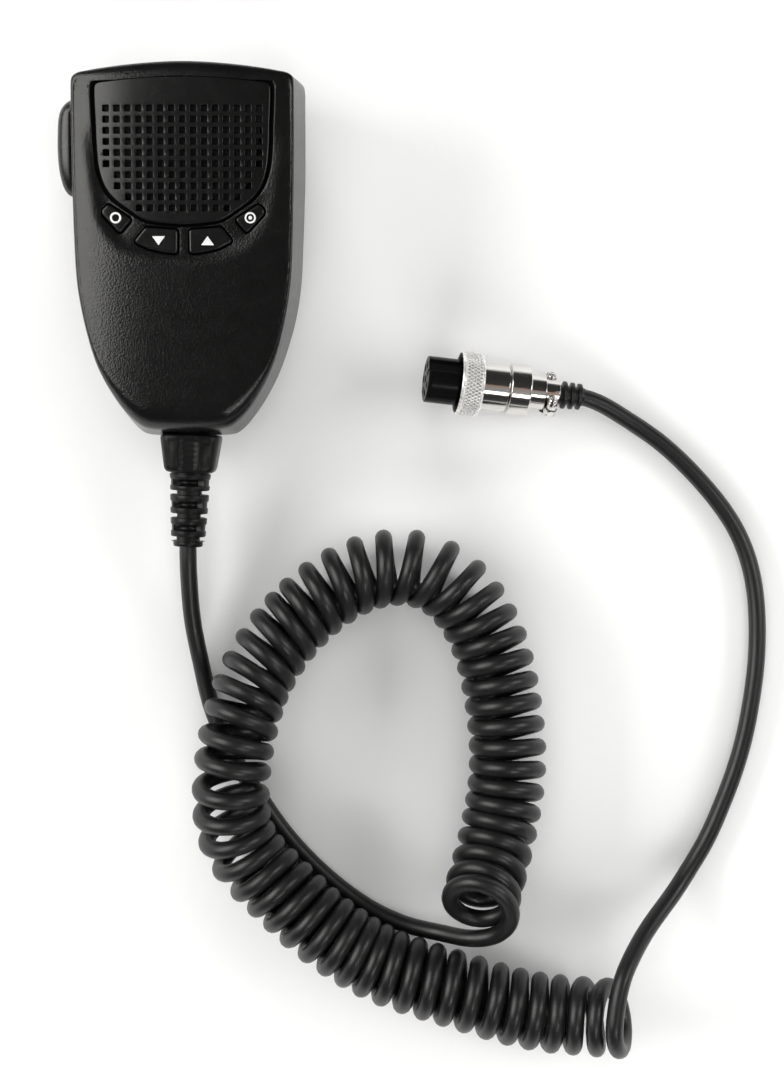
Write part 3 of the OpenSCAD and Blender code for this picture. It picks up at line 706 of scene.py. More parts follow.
def face_height(x, y):
    x, y = np.asarray(x, float), np.asarray(y, float)
    d = away(x, y, dish_dense)
    fade = 1 - smoothstep((y - 22) / 15)
    return 16 - crown(x, y) - 0.95 * smoothstep((d + 1.0) / 4.8) * fade * (1 - 0.5 * smoothstep((x - 4) / 16))


def bezier(p0, p1, p2, p3, k):
    return (1 - k) ** 3 * p0 + 3 * k * (1 - k) ** 2 * p1 + 3 * k * k * (1 - k) * p2 + k**3 * p3


# ------------------------------------------------------------------ front half
def rim(b, loop_ids, loop_xy, depth_z, r, n_in, hz, seg=3):
    """rounds a hole's edge and goes down to depth_z; n_in points into the hole; returns the lowest ring"""
    prev = loop_ids
    for k in range(1, seg + 1):
        a = math.pi / 2 * k / seg
        xy = loop_xy + n_in * r * math.sin(a)
        cur = b.add(ring3(xy, hz - r * (1 - math.cos(a))))
        b.strip(prev, cur)
        prev = cur
    last = b.add(ring3(loop_xy + n_in * r, depth_z))
    b.strip(prev, last)
    return last, loop_xy + n_in * r


front = Build()
n_face = inward(face_l)
n_joint = inward(joint_l)
inner_j = joint_l + n_joint * 2.0
inner_f = face_l + n_face * (2.0 + 0.6)
rows = []
for z, inset in ((0.02, 0.3), (0.3, 0.0), (2.2, 0.0), (4.3, 0.0), (6.4, 0.0), (8.5, 0.0), (10.4, 0.0)):
    k = (z / (16 - edge_h))[:, None]
    rows.append(ring3(joint_l + (face_l - joint_l) * k + n_joint * inset, z))
wall_dir = np.column_stack([(face_l - joint_l), 16 - edge_h])
wall_dir /= np.linalg.norm(wall_dir, axis=1)[:, None]
p0 = np.column_stack([face_l, 16 - edge_h])
p3 = np.column_stack([face_l + n_face * edge_w[:, None], np.full(N, 16.0)])
p1 = p0 + wall_dir * (0.55 * edge_h)[:, None]
p2 = p3 - np.column_stack([n_face, np.zeros(N)]) * (0.55 * edge_w)[:, None]
EDGE_SEG = 8
for s in range(EDGE_SEG + 1):
    k = s / EDGE_SEG
    P = bezier(p0, p1, p2, p3, k)
    P[:, 2] -= (16 - face_height(P[:, 0], P[:, 1])) * k
    rows.append(P)
out_ids = [front.add(r) for r in rows]
for j, (a, c) in enumerate(zip(out_ids, out_ids[1:])):
    front.strip(a, c, skip=(lambda i: W0 <= i < W1) if j < 5 else None)
face_ring = rows[-1][:, :2]

key_loops = {}
for tag, poly, side in (("left", KEY_SMALL, -1), ("down", KEY_MID, -1), ("up", KEY_MID, 1), ("right", KEY_SMALL, 1)):
    key_loops[tag] = spread(rounded(poly if side > 0 else flip(poly), 0.9), 0.7)
GAP = 0.40
LIP = 0.28
groove_l = grille_l - inward(grille_l) * (LIP + 0.42 + 0.25 * smoothstep((grille_l[:, 1] - 9) / 5) + 0.25 * smoothstep((grille_l[:, 1] - 13) / 10))[:, None]
hole_loops = [groove_l] + [key_loops[t] - inward(key_loops[t]) * (GAP + LIP) for t in ("left", "down", "up", "right")]
pts, tri = fill(face_ring, hole_loops, 1.15)
hole_ids = [front.add(ring3(h, face_height(h[:, 0], h[:, 1]))) for h in hole_loops]
front.face(pts, tri, [out_ids[-1]] + hole_ids, face_height)
# pocket under the grille panel, and its opening
low, low_xy = rim(front, hole_ids[0], hole_loops[0], 14.12, LIP, inward(hole_loops[0]), face_height(hole_loops[0][:, 0], hole_loops[0][:, 1]))
pp, pt = fill(low_xy, [opening_l])
open_top = front.add(ring3(opening_l, 14.12))
front.face(pp, pt, [low, open_top], 14.12)
open_low = front.add(ring3(opening_l, 13.95))
front.strip(open_top, open_low)
# key windows
win_low, win_xy = [], []
for ids, h in zip(hole_ids[1:], hole_loops[1:]):
    l, xy = rim(front, ids, h, 13.95, LIP, inward(h), face_height(h[:, 0], h[:, 1]))
    win_low.append(l)
    win_xy.append(xy)
# inside of the half
in_rows = [ring3(inner_j, 0.02), ring3(inner_j + (inner_f - inner_j) * 0.55, 8.5), ring3(inner_f, 12.6), ring3(inner_f + n_face * 1.2, 13.95)]
in_ids = [front.add(r) for r in in_rows]
for j, (a, c) in enumerate(zip(in_ids, in_ids[1:])):
    front.strip(a, c, skip=(lambda i: W0 <= i < W1) if j < 1 else None)
pp, pt = fill(in_rows[-1][:, :2], [opening_l] + win_xy)
front.face(pp, pt, [in_ids[-1], open_low] + win_low, 13.95)
front.strip(out_ids[0], in_ids[0], skip=lambda i: W0 <= i < W1)
for i in (W0, W1):
    front.f.append(tuple([out_ids[j][i] for j in range(6)] + [in_ids[1][i], in_ids[0][i]]))
for i in range(W0, W1):
    front.f.append((out_ids[5][i], out_ids[5][i + 1], in_ids[1][i + 1], in_ids[1][i]))
front_o = piece("front_half", front, on_mic, M_CASE, "microphone", "front_case")



def paint_groove_shade(o, top, drop, where):
    """paints shade on the faces of o that lie lower than its top by drop, inside an area, by giving them the groove's
    near-black, barely reflecting material
    """
    o.data.materials.append(M_GROOVE_SHADE)
    q = off_mic(np.array([f.center for f in o.data.polygons]))
    hit = (q[:, 2] > 14.0) & (q[:, 2] < top(q[:, 0], q[:, 1]) - drop) & where(q[:, :2])
    for f, h in zip(o.data.polygons, hit):
        f.material_index = int(h)


# painted shade in the groove round the grille panel
paint_groove_shade(front_o, face_height, 0.2, lambda q: inside(q, groove_l))

# ------------------------------------------------------------------ rear half
rear = Build()
rows = [ring3(joint_l + n_joint * 0.3, -0.04)]
for z, k in ((-0.32, 1.0), (-3.2, 0.995), (-6.5, 0.988), (-9.4, 0.981), (-12.2, 0.972)):
    rows.append(ring3(joint_l * k, z))
for s in range(1, 8):
    a = math.pi / 2 * s / 7
    rows.append(ring3(joint_l * (0.925 + 0.047 * math.cos(a)), -12.2 - 2.8 * math.sin(a)))
out_ids = [rear.add(r) for r in rows]
for j, (a, c) in enumerate(zip(out_ids, out_ids[1:])):
    rear.strip(a, c, skip=(lambda i: W0 <= i < W1) if j < 3 else None)
bores = [circle(p, 2.6 + 0.3) for p in CASE_POSTS]
pts, tri = fill(rows[-1][:, :2], bores, 2.2)
bore_ids = [rear.add(ring3(h, -15.0)) for h in bores]
rear.face(pts, tri, [out_ids[-1]] + bore_ids, -15.0)
shaft_low = []
post_ids = []
for p, ids in zip(CASE_POSTS, bore_ids):
    prev = ids
    for r, z in ((2.68, -14.9), (2.6, -14.7), (2.6, -9.96), (1.5, -9.96), (1.5, -0.3), (3.3, -0.3), (3.3, -12.9)):
        cur = rear.add(ring3(circle(p, r), z))
        rear.strip(prev, cur)
        prev = cur
    post_ids.append(prev)
in_k = joint_l + n_joint * 2.0
in_rows = [ring3(in_k, -0.04), ring3(in_k * 0.988, -6.5), ring3(in_k * 0.972, -11.4), ring3(in_k * 0.94, -12.9)]
in_ids = [rear.add(r) for r in in_rows]
for j, (a, c) in enumerate(zip(in_ids, in_ids[1:])):
    rear.strip(a, c, skip=(lambda i: W0 <= i < W1) if j < 1 else None)
pp, pt = fill(in_rows[-1][:, :2], [circle(p, 3.3) for p in CASE_POSTS])
rear.face(pp, pt, [in_ids[-1]] + post_ids, -12.9)
rear.strip(out_ids[0], in_ids[0], skip=lambda i: W0 <= i < W1)
for i in (W0, W1):
    rear.f.append(tuple([out_ids[j][i] for j in range(4)] + [in_ids[1][i], in_ids[0][i]]))
for i in range(W0, W1):
    rear.f.append((out_ids[3][i], out_ids[3][i + 1], in_ids[1][i + 1], in_ids[1][i]))
rear_o = piece("rear_half", rear, on_mic, M_CASE, "microphone", "rear_case")

# ------------------------------------------------------------------ grille panel with square sound holes
panel = Build()


def panel_height(x, y):
    return 15.9 - crown(x, y)


n_g = inward(grille_l)
base = grille_l + n_g * 0.12
PR = 0.45
rows = [ring3(base, 14.2), ring3(base, 15.9 - PR - crown(base[:, 0], base[:, 1]))]
for s in range(1, 7):
    a = math.pi / 2 * s / 6
    xy = base + n_g * PR * (1 - math.cos(a))
    rows.append(ring3(xy, panel_height(xy[:, 0], xy[:, 1]) - PR * (1 - math.sin(a))))
ids = panel.rows(rows)


def square(c, w, r):
    h = w / 2
    return rounded([[c[0] - h, c[1] - h], [c[0] + h, c[1] - h], [c[0] + h, c[1] + h], [c[0] - h, c[1] + h]], r, 2)


centres = []
for r in range(10):
    m = 7 if r < 6 else 6 if r < 8 else 5 if r < 9 else 4
    centres += [(c * 2.93, 37 - r * 2.94) for c in range(-m, m + 1)]
tops = [square(c, 2.0, 0.4) for c in centres]
pts, tri = fill(rows[-1][:, :2], tops, 1.6)
top_ids = [panel.add(ring3(h, panel_height(h[:, 0], h[:, 1]))) for h in tops]
panel.face(pts, tri, [ids[-1]] + top_ids, panel_height)
low_loops, low_ids = [], []
for c, t_ids, t in zip(centres, top_ids, tops):
    prev = t_ids
    for w, dz in ((1.8, 0.05), (1.7, 0.2)):
        h = square(c, w, 0.3)
        cur = panel.add(ring3(h, panel_height(h[:, 0], h[:, 1]) - dz))
        panel.strip(prev, cur)
        prev = cur
    h = square(c, 1.7, 0.3)
    cur = panel.add(ring3(h, 14.2))
    panel.strip(prev, cur)
    low_ids.append(cur)
    low_loops.append(h)
pp, pt = fill(base, low_loops)
panel.face(pp, pt, [ids[0]] + low_ids, 14.2)
panel_o = piece("grille_plate", panel, on_mic, M_GRILLE, "microphone", "grille_panel")
grille_dense = spread(grille_l, 0.3)
# painted shade on the panel's edge, down in the groove
paint_groove_shade(panel_o, panel_height, 0.3, lambda q: away(q[:, 0], q[:, 1], grille_dense) < 0.3)

# ------------------------------------------------------------------ keys and their marks
KEY_TOP = 16.0


def key_height(x, y):
    return KEY_TOP - 0.6 * crown(x, y)


def key(tag, at, body, node):
    b = Build()
    L = key_loops[tag]
    nn = inward(L)
    flange = L - nn * 1.0
    r = 0.55
    rows = [ring3(flange, 12.6), ring3(flange, 13.75), ring3(L, 13.75), ring3(L, key_height(L[:, 0], L[:, 1]) - r)]
    for s in range(1, 6):
        a = math.pi / 2 * s / 5
        xy = L + nn * r * (1 - math.cos(a))
        rows.append(ring3(xy, key_height(xy[:, 0], xy[:, 1]) - r * (1 - math.sin(a))))
    ids = b.rows(rows)
    pts, tri = fill(rows[-1][:, :2], [], 0.7)
    b.face(pts, tri, [ids[-1]], key_height)
    stem = circle(at, 2.0, 28)
    pp, pt = fill(flange, [stem])
    s0 = b.add(ring3(stem, 12.6))
    b.face(pp, pt, [ids[0], s0], 12.6)
    s1 = b.add(ring3(stem, 10.1))
    b.strip(s0, s1)
    b.cap(s1)
    return piece(node + "_cap", b, on_mic, M_KEY, body, node)


def mark(name, polys, body, lift=0.035):
    """flat painted marks on a key: each is (outer loop, holes)"""
    b = Build()
    for outer, holes in polys:
        outer = spread(np.asarray(outer, float), 0.35)
        holes = [np.asarray(h, float) for h in holes]
        tops = [b.add(ring3(l, key_height(l[:, 0], l[:, 1]) + lift)) for l in [outer] + holes]
        lows = [b.add(ring3(l, key_height(l[:, 0], l[:, 1]) - 0.02)) for l in [outer] + holes]
        pts, tri = fill(outer, holes)
        b.face(pts, tri, tops, key_height)
        b.face(pts, tri, lows, key_height)
        for t, l in zip(tops, lows):
            b.strip(t, l)
    return piece(name, b, on_mic, M_LEGEND, body, (), weighted=False)


def triangle(c, w, h, up):
    s = 1 if up else -1
    return rounded([[c[0] - w / 2, c[1] - s * h / 2], [c[0] + w / 2, c[1] - s * h / 2], [c[0], c[1] + s * h / 2]], 0.12, 3)


def bar_shape(c, w, h):
    return rounded([[c[0] - w / 2, c[1] - h / 2], [c[0] + w / 2, c[1] - h / 2], [c[0] + w / 2, c[1] + h / 2], [c[0] - w / 2, c[1] + h / 2]], 0.12, 3)


key("left", (-SMALL_AT[0], SMALL_AT[1]), "left_key", "key_left")
key("down", (-MID_AT[0], MID_AT[1]), "down_key", "key_down")
key("up", MID_AT, "up_key", "key_up")
key("right", SMALL_AT, "right_key", "key_right")
mark("mark_left", [(circle((-18.1, 7.9), 1.5, 44), [circle((-18.1, 7.9), 0.98, 36)])], "left_key")
mark("mark_down", [(triangle((-6.6, 1.8), 3.5, 2.4, False), [])], "down_key")
mark("mark_up", [(triangle((6.6, 1.8), 3.5, 2.4, True), [])], "up_key")
mark("mark_right", [(circle((18.1, 7.9), 1.5, 44), [circle((18.1, 7.9), 1.05, 36)]), (circle((18.1, 7.9), 0.5, 28), [])], "right_key")

# ------------------------------------------------------------------ talk bar
talk = Build()
O_ = -35.4
side = [[-28.9, 41.1], [-30.9, 41.0], [-32.2, 40.5], [-33.2, 39.75], [-34.1, 38.6], [-34.7, 37.2], [-35.1, 35.4], [-35.3, 33],
        [O_, 29.5], [-35.3, 24.1], [-35.05, 21.3], [-34.6, 19], [-34.05, 17.2], [-33.3, 15.9], [-32.3, 15.15], [-31, 15], [-28.9, 14.95]]
S = np.array([[x, y, 0.0] for x, y in side])
S = even(spline(S, 0.2), 0.75)[:, :2]
tS = np.gradient(S, axis=0)
tS /= np.linalg.norm(tS, axis=1)[:, None]
# the curve runs from the top end down round the outside, so its inside lies to its left
nS = np.stack([-tS[:, 1], tS[:, 0]], 1)
if (nS[len(S) // 2] @ np.array([1.0, 0])) < 0:
    nS = -nS
LV = np.concatenate([np.linspace(-6.0, 4.0, 15), 8.0 - 4.0 * (1 - np.linspace(0.08, 1, 16)) ** 2])
mid = np.column_stack([np.full(len(S), -31.35), np.clip(S[:, 1], 19.4, 37.0)])
grip = smoothstep((-30.4 - S[:, 0]) / 1.2)
# rounded like a pillow, and falling off towards its lower end
RX, RV = 3.8, 2.8
ids = []
for z in LV:
    over = np.clip((abs(z - 1.0) - (7.0 - RV)) / RV, 0, 1)
    e = RX * (1 - np.sqrt(1 - over * over)) / 4.05
    P = S + (mid - S) * (e * grip)[:, None]
    sink = 2.4 * np.clip((29.5 - P[:, 1]) / 14.5, 0, 1) ** 2
    ids.append(talk.add(ring3(P, z - sink * smoothstep((z + 2) / 10))))
for a, c in zip(ids, ids[1:]):
    talk.strip(a, c, closed=False)
talk.cap(ids[0])
talk.cap(ids[-1])
back0 = [i[0] for i in ids]
back1 = [i[-1] for i in ids]
talk.f.append(tuple(back0 + back1[::-1]))


def block(b, lo, hi, c=0.25):
    """block with softened edges along z"""
    L = rounded([[lo[0], lo[1]], [hi[0], lo[1]], [hi[0], hi[1]], [lo[0], hi[1]]], c, 3)
    a = b.add(ring3(L, lo[2]))
    d = b.add(ring3(L, hi[2]))
    b.strip(a, d)
    b.cap(a)
    b.cap(d)


block(talk, (-28, 11.8, -7.5), (-26.8, 32.8, 8.9))
block(talk, (-28.9, 33.4, -5), (-26.6, 37.6, 5))
block(talk, (-27.3, 15.5, 5.9), (-25.2, 18.5, 8.9))
hub0, hub1 = circle((-26, 35.5), 1.95, 28), circle((-26, 35.5), 1.05, 28)
q = [talk.add(ring3(hub0, -5)), talk.add(ring3(hub0, 5)), talk.add(ring3(hub1, 5)), talk.add(ring3(hub1, -5))]
for a, c in zip(q, q[1:] + q[:1]):
    talk.strip(a, c)
piece("talk_bar_cap", talk, on_mic, M_BAR, "talk_bar", "ptt_bar")

# ------------------------------------------------------------------ strain relief
relief = Build()
SA = 80
ang = 2 * np.pi * np.arange(SA) / SA


def oblong(w, h, p=4.5):
    """rounded oblong section, w across and h thick"""
    c, s = np.cos(ang), np.sin(ang)
    k = (np.abs(c) ** p + np.abs(s) ** p) ** (-1 / p)
    return np.stack([w / 2 * k * c, h / 2 * k * s], 1)


def collar(t, w, h, deep=1.0):
    P = oblong(w, h)
    a, b_ = P[:, 0], P[:, 1]
    up = b_ > 0.35 * h
    drop = np.zeros(SA)
    drop += 0.55 * smoothstep((2.6 - np.abs(a)) / 0.9)
    drop += 0.45 * smoothstep((0.55 - np.abs(a + 5.2)) / 0.45)
    drop += 0.45 * smoothstep((0.55 - np.abs(a - 5.2)) / 0.45)
    drop += 0.35 * smoothstep((0.4 - np.abs(np.abs(a) - 3.6)) / 0.35)
    P[:, 1] = np.where(np.abs(b_) > 0.35 * h, b_ - np.sign(b_) * drop * deep, b_)
    return np.column_stack([np.full(SA, t), P])


def round_ring(t, r, cut=None, core=3.3):
    """round section with slots: "face" is open towards the face and back, "side" towards both sides"""
    rr = np.full(SA, float(r))
    if cut:
        c = np.abs(np.sin(ang)) if cut == "face" else np.abs(np.cos(ang))
        rr = np.where(c > 0.60, core + 0.0 * rr, rr)
    return np.column_stack([np.full(SA, t), rr * np.cos(ang), rr * np.sin(ang)])


def seat(R_):
    R_[:, 0] -= 0.11 * np.abs(R_[:, 2]) * np.clip((1.5 - R_[:, 0]) / 1.1, 0, 1)
    return R_


rings = [np.column_stack([np.full(SA, -6.0), 5.3 * np.cos(ang), 5.3 * np.sin(ang)]),
         np.column_stack([np.full(SA, 0.35), 5.3 * np.cos(ang), 5.3 * np.sin(ang)])]
rings.append(seat(np.column_stack([np.full(SA, 0.4), oblong(15.8, 12.8)])))
for t, k in ((0.55, 0.6), (0.8, 0.25), (1.2, 0.0)):
    w = 17.0 - 2.8 * (t - 0.4) / 9.6
    h = 14.0 - 1.6 * (t - 0.4) / 9.6
    rings.append(seat(collar(t, w - k, h - k, 0.0 if t < 1 else 0.35)))
for t in np.arange(1.7, 9.2, 0.25):
    w = 17.0 - 2.8 * (t - 0.4) / 9.6
    h = 14.0 - 1.6 * (t - 0.4) / 9.6
    R_ = collar(t, w, h, 1.0)
    step_ = (t - 1.7) % 1.5
    line_ = 0.05 * (step_ < 0.26) * smoothstep((2.3 - np.abs(R_[:, 1])) / 0.5) * (np.abs(R_[:, 2]) > 0.3 * h)
    R_[:, 2] -= np.sign(R_[:, 2]) * line_
    rings.append(R_)
for t, k in ((9.5, 0.1), (9.9, 0.5), (10.2, 1.1), (10.4, 1.9)):
    rings.append(collar(t, 14.2 - k, 12.4 - k, max(0.0, 0.9 - k)))
SLOTS = [(12.4, 14.1, "face"), (15.5, 16.7, "side"), (18.6, 20.3, "face"), (22.0, 23.2, "side"), (25.1, 26.8, "face"), (28.5, 29.75, "side")]


def tail_r(t):
    return 5.75 - 0.95 * (t - 11) / 19


rings += [round_ring(10.6, 5.2), round_ring(10.9, 5.7), round_ring(11.2, 5.8)]
t_now = 11.2
for a0, a1, kind in SLOTS:
    for t in np.linspace(t_now, a0, max(2, int((a0 - t_now) / 0.5)))[1:-1]:
        rings.append(round_ring(t, tail_r(t)))
    rings += [round_ring(a0 - 0.3, tail_r(a0)), round_ring(a0 - 0.08, tail_r(a0) - 0.08), round_ring(a0, tail_r(a0) - 0.3)]
    rings += [round_ring(a0 + 0.02, tail_r(a0) - 0.3, kind), round_ring(a1 - 0.02, tail_r(a1) - 0.3, kind)]
    rings += [round_ring(a1, tail_r(a1) - 0.3), round_ring(a1 + 0.08, tail_r(a1) - 0.08), round_ring(a1 + 0.3, tail_r(a1))]
    t_now = a1 + 0.3
rings = rings[:-1]
for t, r in ((29.95, 4.05), (30.2, 4.15), (31.0, 4.1), (31.3, 3.9), (31.4, 3.5), (31.4, 2.55), (30.6, 2.5)):
    rings.append(round_ring(t, r))
ids = relief.rows(rings)
relief.cap(ids[0])
relief.cap(ids[-1])
relief_o = piece("cord_relief", relief, on_relief, M_RELIEF, "microphone", "strain_relief")

# ------------------------------------------------------------------ hanger stud
stud = Build()
prof = soft([(-19.0, 3.9), (-19.0, 7.0), (-17.2, 7.0), (-17.2, 4.0), (-15.0, 4.0), (-15.0, 2.1), (-17.2, 2.1), (-19.0, 3.9)], 0.35, 4)
n_ = 64
ang_s = 2 * np.pi * np.arange(n_) / n_
sr = [np.column_stack([r * np.cos(ang_s), 12 + r * np.sin(ang_s), np.full(n_, z)]) for z, r in prof]
ids = stud.rows(sr)
piece("hanger_button_stud", stud, on_mic, M_STUD, "microphone", "hanger_stud")

# ------------------------------------------------------------------ plug
# nose: round, with a keyway along the side that faces up
nose = Build()
KW, KZ = 2.0, 5.55


def nose_section(r, inset=0.0):
    a0 = math.asin((KW + inset) / r)
    arc = np.linspace(math.pi / 2 - a0, math.pi / 2 - 2 * math.pi + a0, 89)
    P = [[r * math.cos(a), r * math.sin(a)] for a in arc]
    z = KZ - inset
    top_z = math.sqrt(r * r - (KW + inset) ** 2)
    for s in (0.25, 0.6, 1.0):
        P.append([-(KW + inset), top_z + (z - top_z) * s])
    for s in (0.25, 0.5, 0.75, 1.0):
        P.append([-(KW + inset) + 2 * (KW + inset) * s, z])
    for s in (0.4, 0.75):
        P.append([KW + inset, z + (top_z - z) * s])
    return np.array(P)


def section_at(u, r, inset=0.0):
    P = nose_section(r, inset)
    return np.column_stack([np.full(len(P), u), P])


rows = [section_at(-3.5, 6.2), section_at(0.3, 6.2), section_at(0.35, 6.45), section_at(0.6, 6.55)]
for u in (2, 4, 6, 8):
    rows.append(section_at(u, 6.55))
for s in range(1, 6):
    a = math.pi / 2 * s / 5
    rows.append(section_at(8.75 + 0.45 * math.sin(a), 6.55 - 0.45 * (1 - math.cos(a)), 0.25 * (1 - math.cos(a))))
ids = nose.rows(rows)
nose.cap(ids[0])
pins = [(0.0, 0.0)] + [(4.1 * math.cos(2 * math.pi * (i + 0.5) / 7), 4.1 * math.sin(2 * math.pi * (i + 0.5) / 7)) for i in range(7)]
outer = rows[-1][:, 1:]
wells = [circle(p, 1.12, 24) for p in pins]
pts, tri = fill(outer, wells, 1.0)
w_ids = [nose.add(np.column_stack([np.full(24, 9.2), w])) for w in wells]
base_ids = ids[-1] + [i for w in w_ids for i in w]
extra = nose.add(np.column_stack([np.full(len(pts) - len(base_ids), 9.2), pts[len(base_ids):]]))
al = base_ids + extra
nose.f += [tuple(al[i] for i in t) for t in tri]
for p, w in zip(pins, w_ids):
    prev = w
    for r, u in ((1.03, 9.1), (1.0, 8.95), (1.0, 6.4)):
        cur = nose.add(np.column_stack([np.full(24, u), circle(p, r, 24)]))
        nose.strip(prev, cur)
        prev = cur
    nose.cap(prev)
nose_o = piece("plug_nose_insulator", nose, on_plug, M_NOSE, "microphone", "plug_insulator")

# coupling ring, diamond knurled
ring = Build()
KN, KROWS = 52, 52
PER = 8
n_r = KN * PER
a_r = 2 * np.pi * np.arange(n_r) / n_r


def tri_wave(x):
    x = np.mod(x, 1.0)
    return 1 - np.abs(2 * x - 1)


def ring_row(u, r):
    rr = np.full(n_r, r) if np.ndim(r) == 0 else r
    return np.column_stack([np.full(n_r, u), rr * np.cos(a_r), rr * np.sin(a_r)])


rows = [ring_row(-5.0, 6.85), ring_row(-5.0, 7.95)]
for k in range(4):
    rows += [ring_row(-4.7 + k, 8.0), ring_row(-4.45 + k, 8.3), ring_row(-4.2 + k, 8.3), ring_row(-3.95 + k, 8.0)]
rows += [ring_row(-0.75, 8.05), ring_row(-0.2, 8.5), ring_row(-0.04, 8.57), ring_row(0.0, 8.63),
         ring_row(-0.1, 8.72), ring_row(-0.55, 8.9), ring_row(-0.8, 8.9), ring_row(-0.92, 8.78), ring_row(-1.05, 8.68)]
for u in np.linspace(-1.1, -5.75, KROWS):
    ph = a_r / (2 * np.pi) * KN
    v = -u / (2 * math.pi * 9.0 / KN)
    # raised diamonds: two sets of crossing grooves
    g = np.minimum(np.minimum(tri_wave(ph + v * 0.62), tri_wave(ph - v * 0.62)) * 1.5, 0.8) / 0.8
    edge = smoothstep((-1.0 - u) / 0.35) * smoothstep((u + 5.85) / 0.35)
    rows.append(ring_row(u, 8.60 + 0.39 * g * edge + 0.08 * (1 - edge)))
rows += [ring_row(-5.85, 8.68), ring_row(-5.95, 8.72), ring_row(-6.1, 8.72), ring_row(-6.4, 8.5), ring_row(-6.5, 8.25), ring_row(-6.5, 6.95), ring_row(-6.4, 6.85), ring_row(-5.0, 6.85)]
ids = ring.rows(rows)
ring_o = piece("knurled_ring", ring, on_plug, M_RING, "screw_ring", "coupling_ring", weighted=False)
# the ring's inside gets dark metal as painted shade in its threaded bore
ring_o.data.materials.append(M_BORE_SHADE)
# the knurl's valley faces get darker metal as painted shade in the grooves
ring_o.data.materials.append(M_KNURL_SHADE)
axis_at, axis_dir = Vector(PLUG_O * MM), Vector(PX)
# faces inside the bore take the dark metal of painted shade, the knurl's valley faces the darker metal of painted shade
for f in ring_o.data.polygons:
    d = f.center - axis_at
    along_axis = d.dot(axis_dir) / MM
    out_ = (d - axis_dir * d.dot(axis_dir)).length / MM
    if out_ < 8.45 and along_axis > -4.99:
        f.material_index = 1
    elif -5.6 < along_axis < -1.25 and 8.5 < out_ < 8.72:
        f.material_index = 2

# front barrel
shell = lathe(Build(), soft([(-3.8, 5.9), (-3.8, 7.2), (-4.85, 7.2), (-4.85, 6.72), (-14.0, 6.75), (-14.0, 5.6), (-19.4, 5.5), (-19.4, 4.9), (-3.8, 5.9)], 0.22, 3), 96)
shell_o = piece("front_barrel", shell, on_plug, M_PLUG, "microphone", "plug_shell")
# rear barrel with its neck and saddle
sleeve = lathe(Build(), soft([(-14.4, 5.6), (-14.4, 7.0), (-14.6, 7.2), (-20.0, 7.2), (-20.3, 6.9), (-20.3, 4.9), (-24.9, 4.9), (-24.9, 3.0), (-19.7, 3.0), (-19.7, 5.6), (-14.4, 5.6)], 0.16, 3), 96)


def extrude_u(b, loop, u0, u1, c=0.2, lug=1.0):
    """outline across the plug's axis, drawn along it with softened ends; its side lugs narrow to lug times its length"""
    nn = inward(loop)
    far = np.abs(loop[:, 0])
    slim = 1 - (1 - lug) * smoothstep((far - 2.7) / 1.5)
    slim *= np.sqrt(1 - 0.7 * np.clip((far - 5.2) / 1.3, 0, 1) ** 2)
    rows = []
    for u, d in ((u0, c), (u0 + 0.3 * c, 0.3 * c), (u0 + c, 0.0), (u1 - c, 0.0), (u1 - 0.3 * c, 0.3 * c), (u1, c)):
        L = loop + nn * d
        rows.append(np.column_stack([(u0 + u1) / 2 + (u - (u0 + u1) / 2) * slim, L]))
    ids = b.rows(rows)
    for e in (0, -1):
        pts, tri = fill(rows[e][:, 1:], [])
        b.f += [tuple(ids[e][i] for i in t) for t in tri]


low_arc = [[5.9 * math.cos(a), 5.9 * math.sin(a)] for a in np.linspace(math.radians(-27), math.radians(-153), 26)]
bed = [[2.95 * math.cos(a), 2.95 * math.sin(a)] for a in np.linspace(math.radians(186), math.radians(354), 18)]
saddle = spread(rounded([[6.5, -0.3], [6.5, -2.35]] + low_arc + [[-6.5, -2.35], [-6.5, -0.3]] + bed, 0.15, 2), 0.5)
extrude_u(sleeve, saddle, -29.3, -24.8, lug=0.75)
sleeve_o = piece("rear_barrel", sleeve, on_plug, M_PLUG, "microphone", "plug_sleeve")
# clamp strap over the cable
hump = [[4.0 * math.cos(a), 4.0 * math.sin(a)] for a in np.linspace(math.radians(150), math.radians(30), 20)]
under = [[2.95 * math.cos(a), 2.95 * math.sin(a)] for a in np.linspace(math.radians(4), math.radians(176), 20)]
strap = spread(rounded([[-6.5, 0.2], [-6.5, 2.0]] + hump + [[6.5, 2.0], [6.5, 0.2]] + under, 0.25, 3), 0.5)
clamp = Build()
extrude_u(clamp, strap, -29.1, -24.95, 0.25, lug=0.72)
clamp_o = piece("cable_clamp", clamp, on_plug, M_PLUG, "microphone", "plug_clamp")
# pan head screws with a cross recess
screws = Build()
for sgn in (-1, 1):
    cy = sgn * 4.5
    n_ = 40
    a_ = 2 * np.pi * np.arange(n_) / n_
    prev = None
    for r, z in ((1.0, -3.2), (1.0, 2.0), (1.3, 2.02), (1.35, 2.2), (1.32, 2.6), (1.18, 2.9), (0.95, 3.1), (0.82, 3.15)):
        cur = screws.add(np.column_stack([-27 + r * np.cos(a_), cy + r * np.sin(a_), np.full(n_, z)]))
        if prev is None:
            screws.cap(cur)
        else:
            screws.strip(prev, cur)
        prev = cur
    # the recess: a cross sunk into the head
    spin = math.radians(24 + 35 * (sgn > 0))
    star = []
    for k in range(n_):
        q = (k / n_ * 2 * math.pi - spin) % (math.pi / 2)
        q = min(q, math.pi / 2 - q)
        star.append(min(0.78, 0.2 / max(math.sin(q), 1e-3)) if q > 1e-3 else 0.78)
    star = np.array(star)
    for f, z in ((1.0, 3.15), (0.95, 2.75), (0.6, 2.55)):
        cur = screws.add(np.column_stack([-27 + f * star * np.cos(a_), cy + f * star * np.sin(a_), np.full(n_, z)]))
        screws.strip(prev, cur)
        prev = cur
    screws.cap(prev)
screws_o = piece("clamp_pan_screws", screws, on_plug, M_SCREW, "microphone", "clamp_screws")
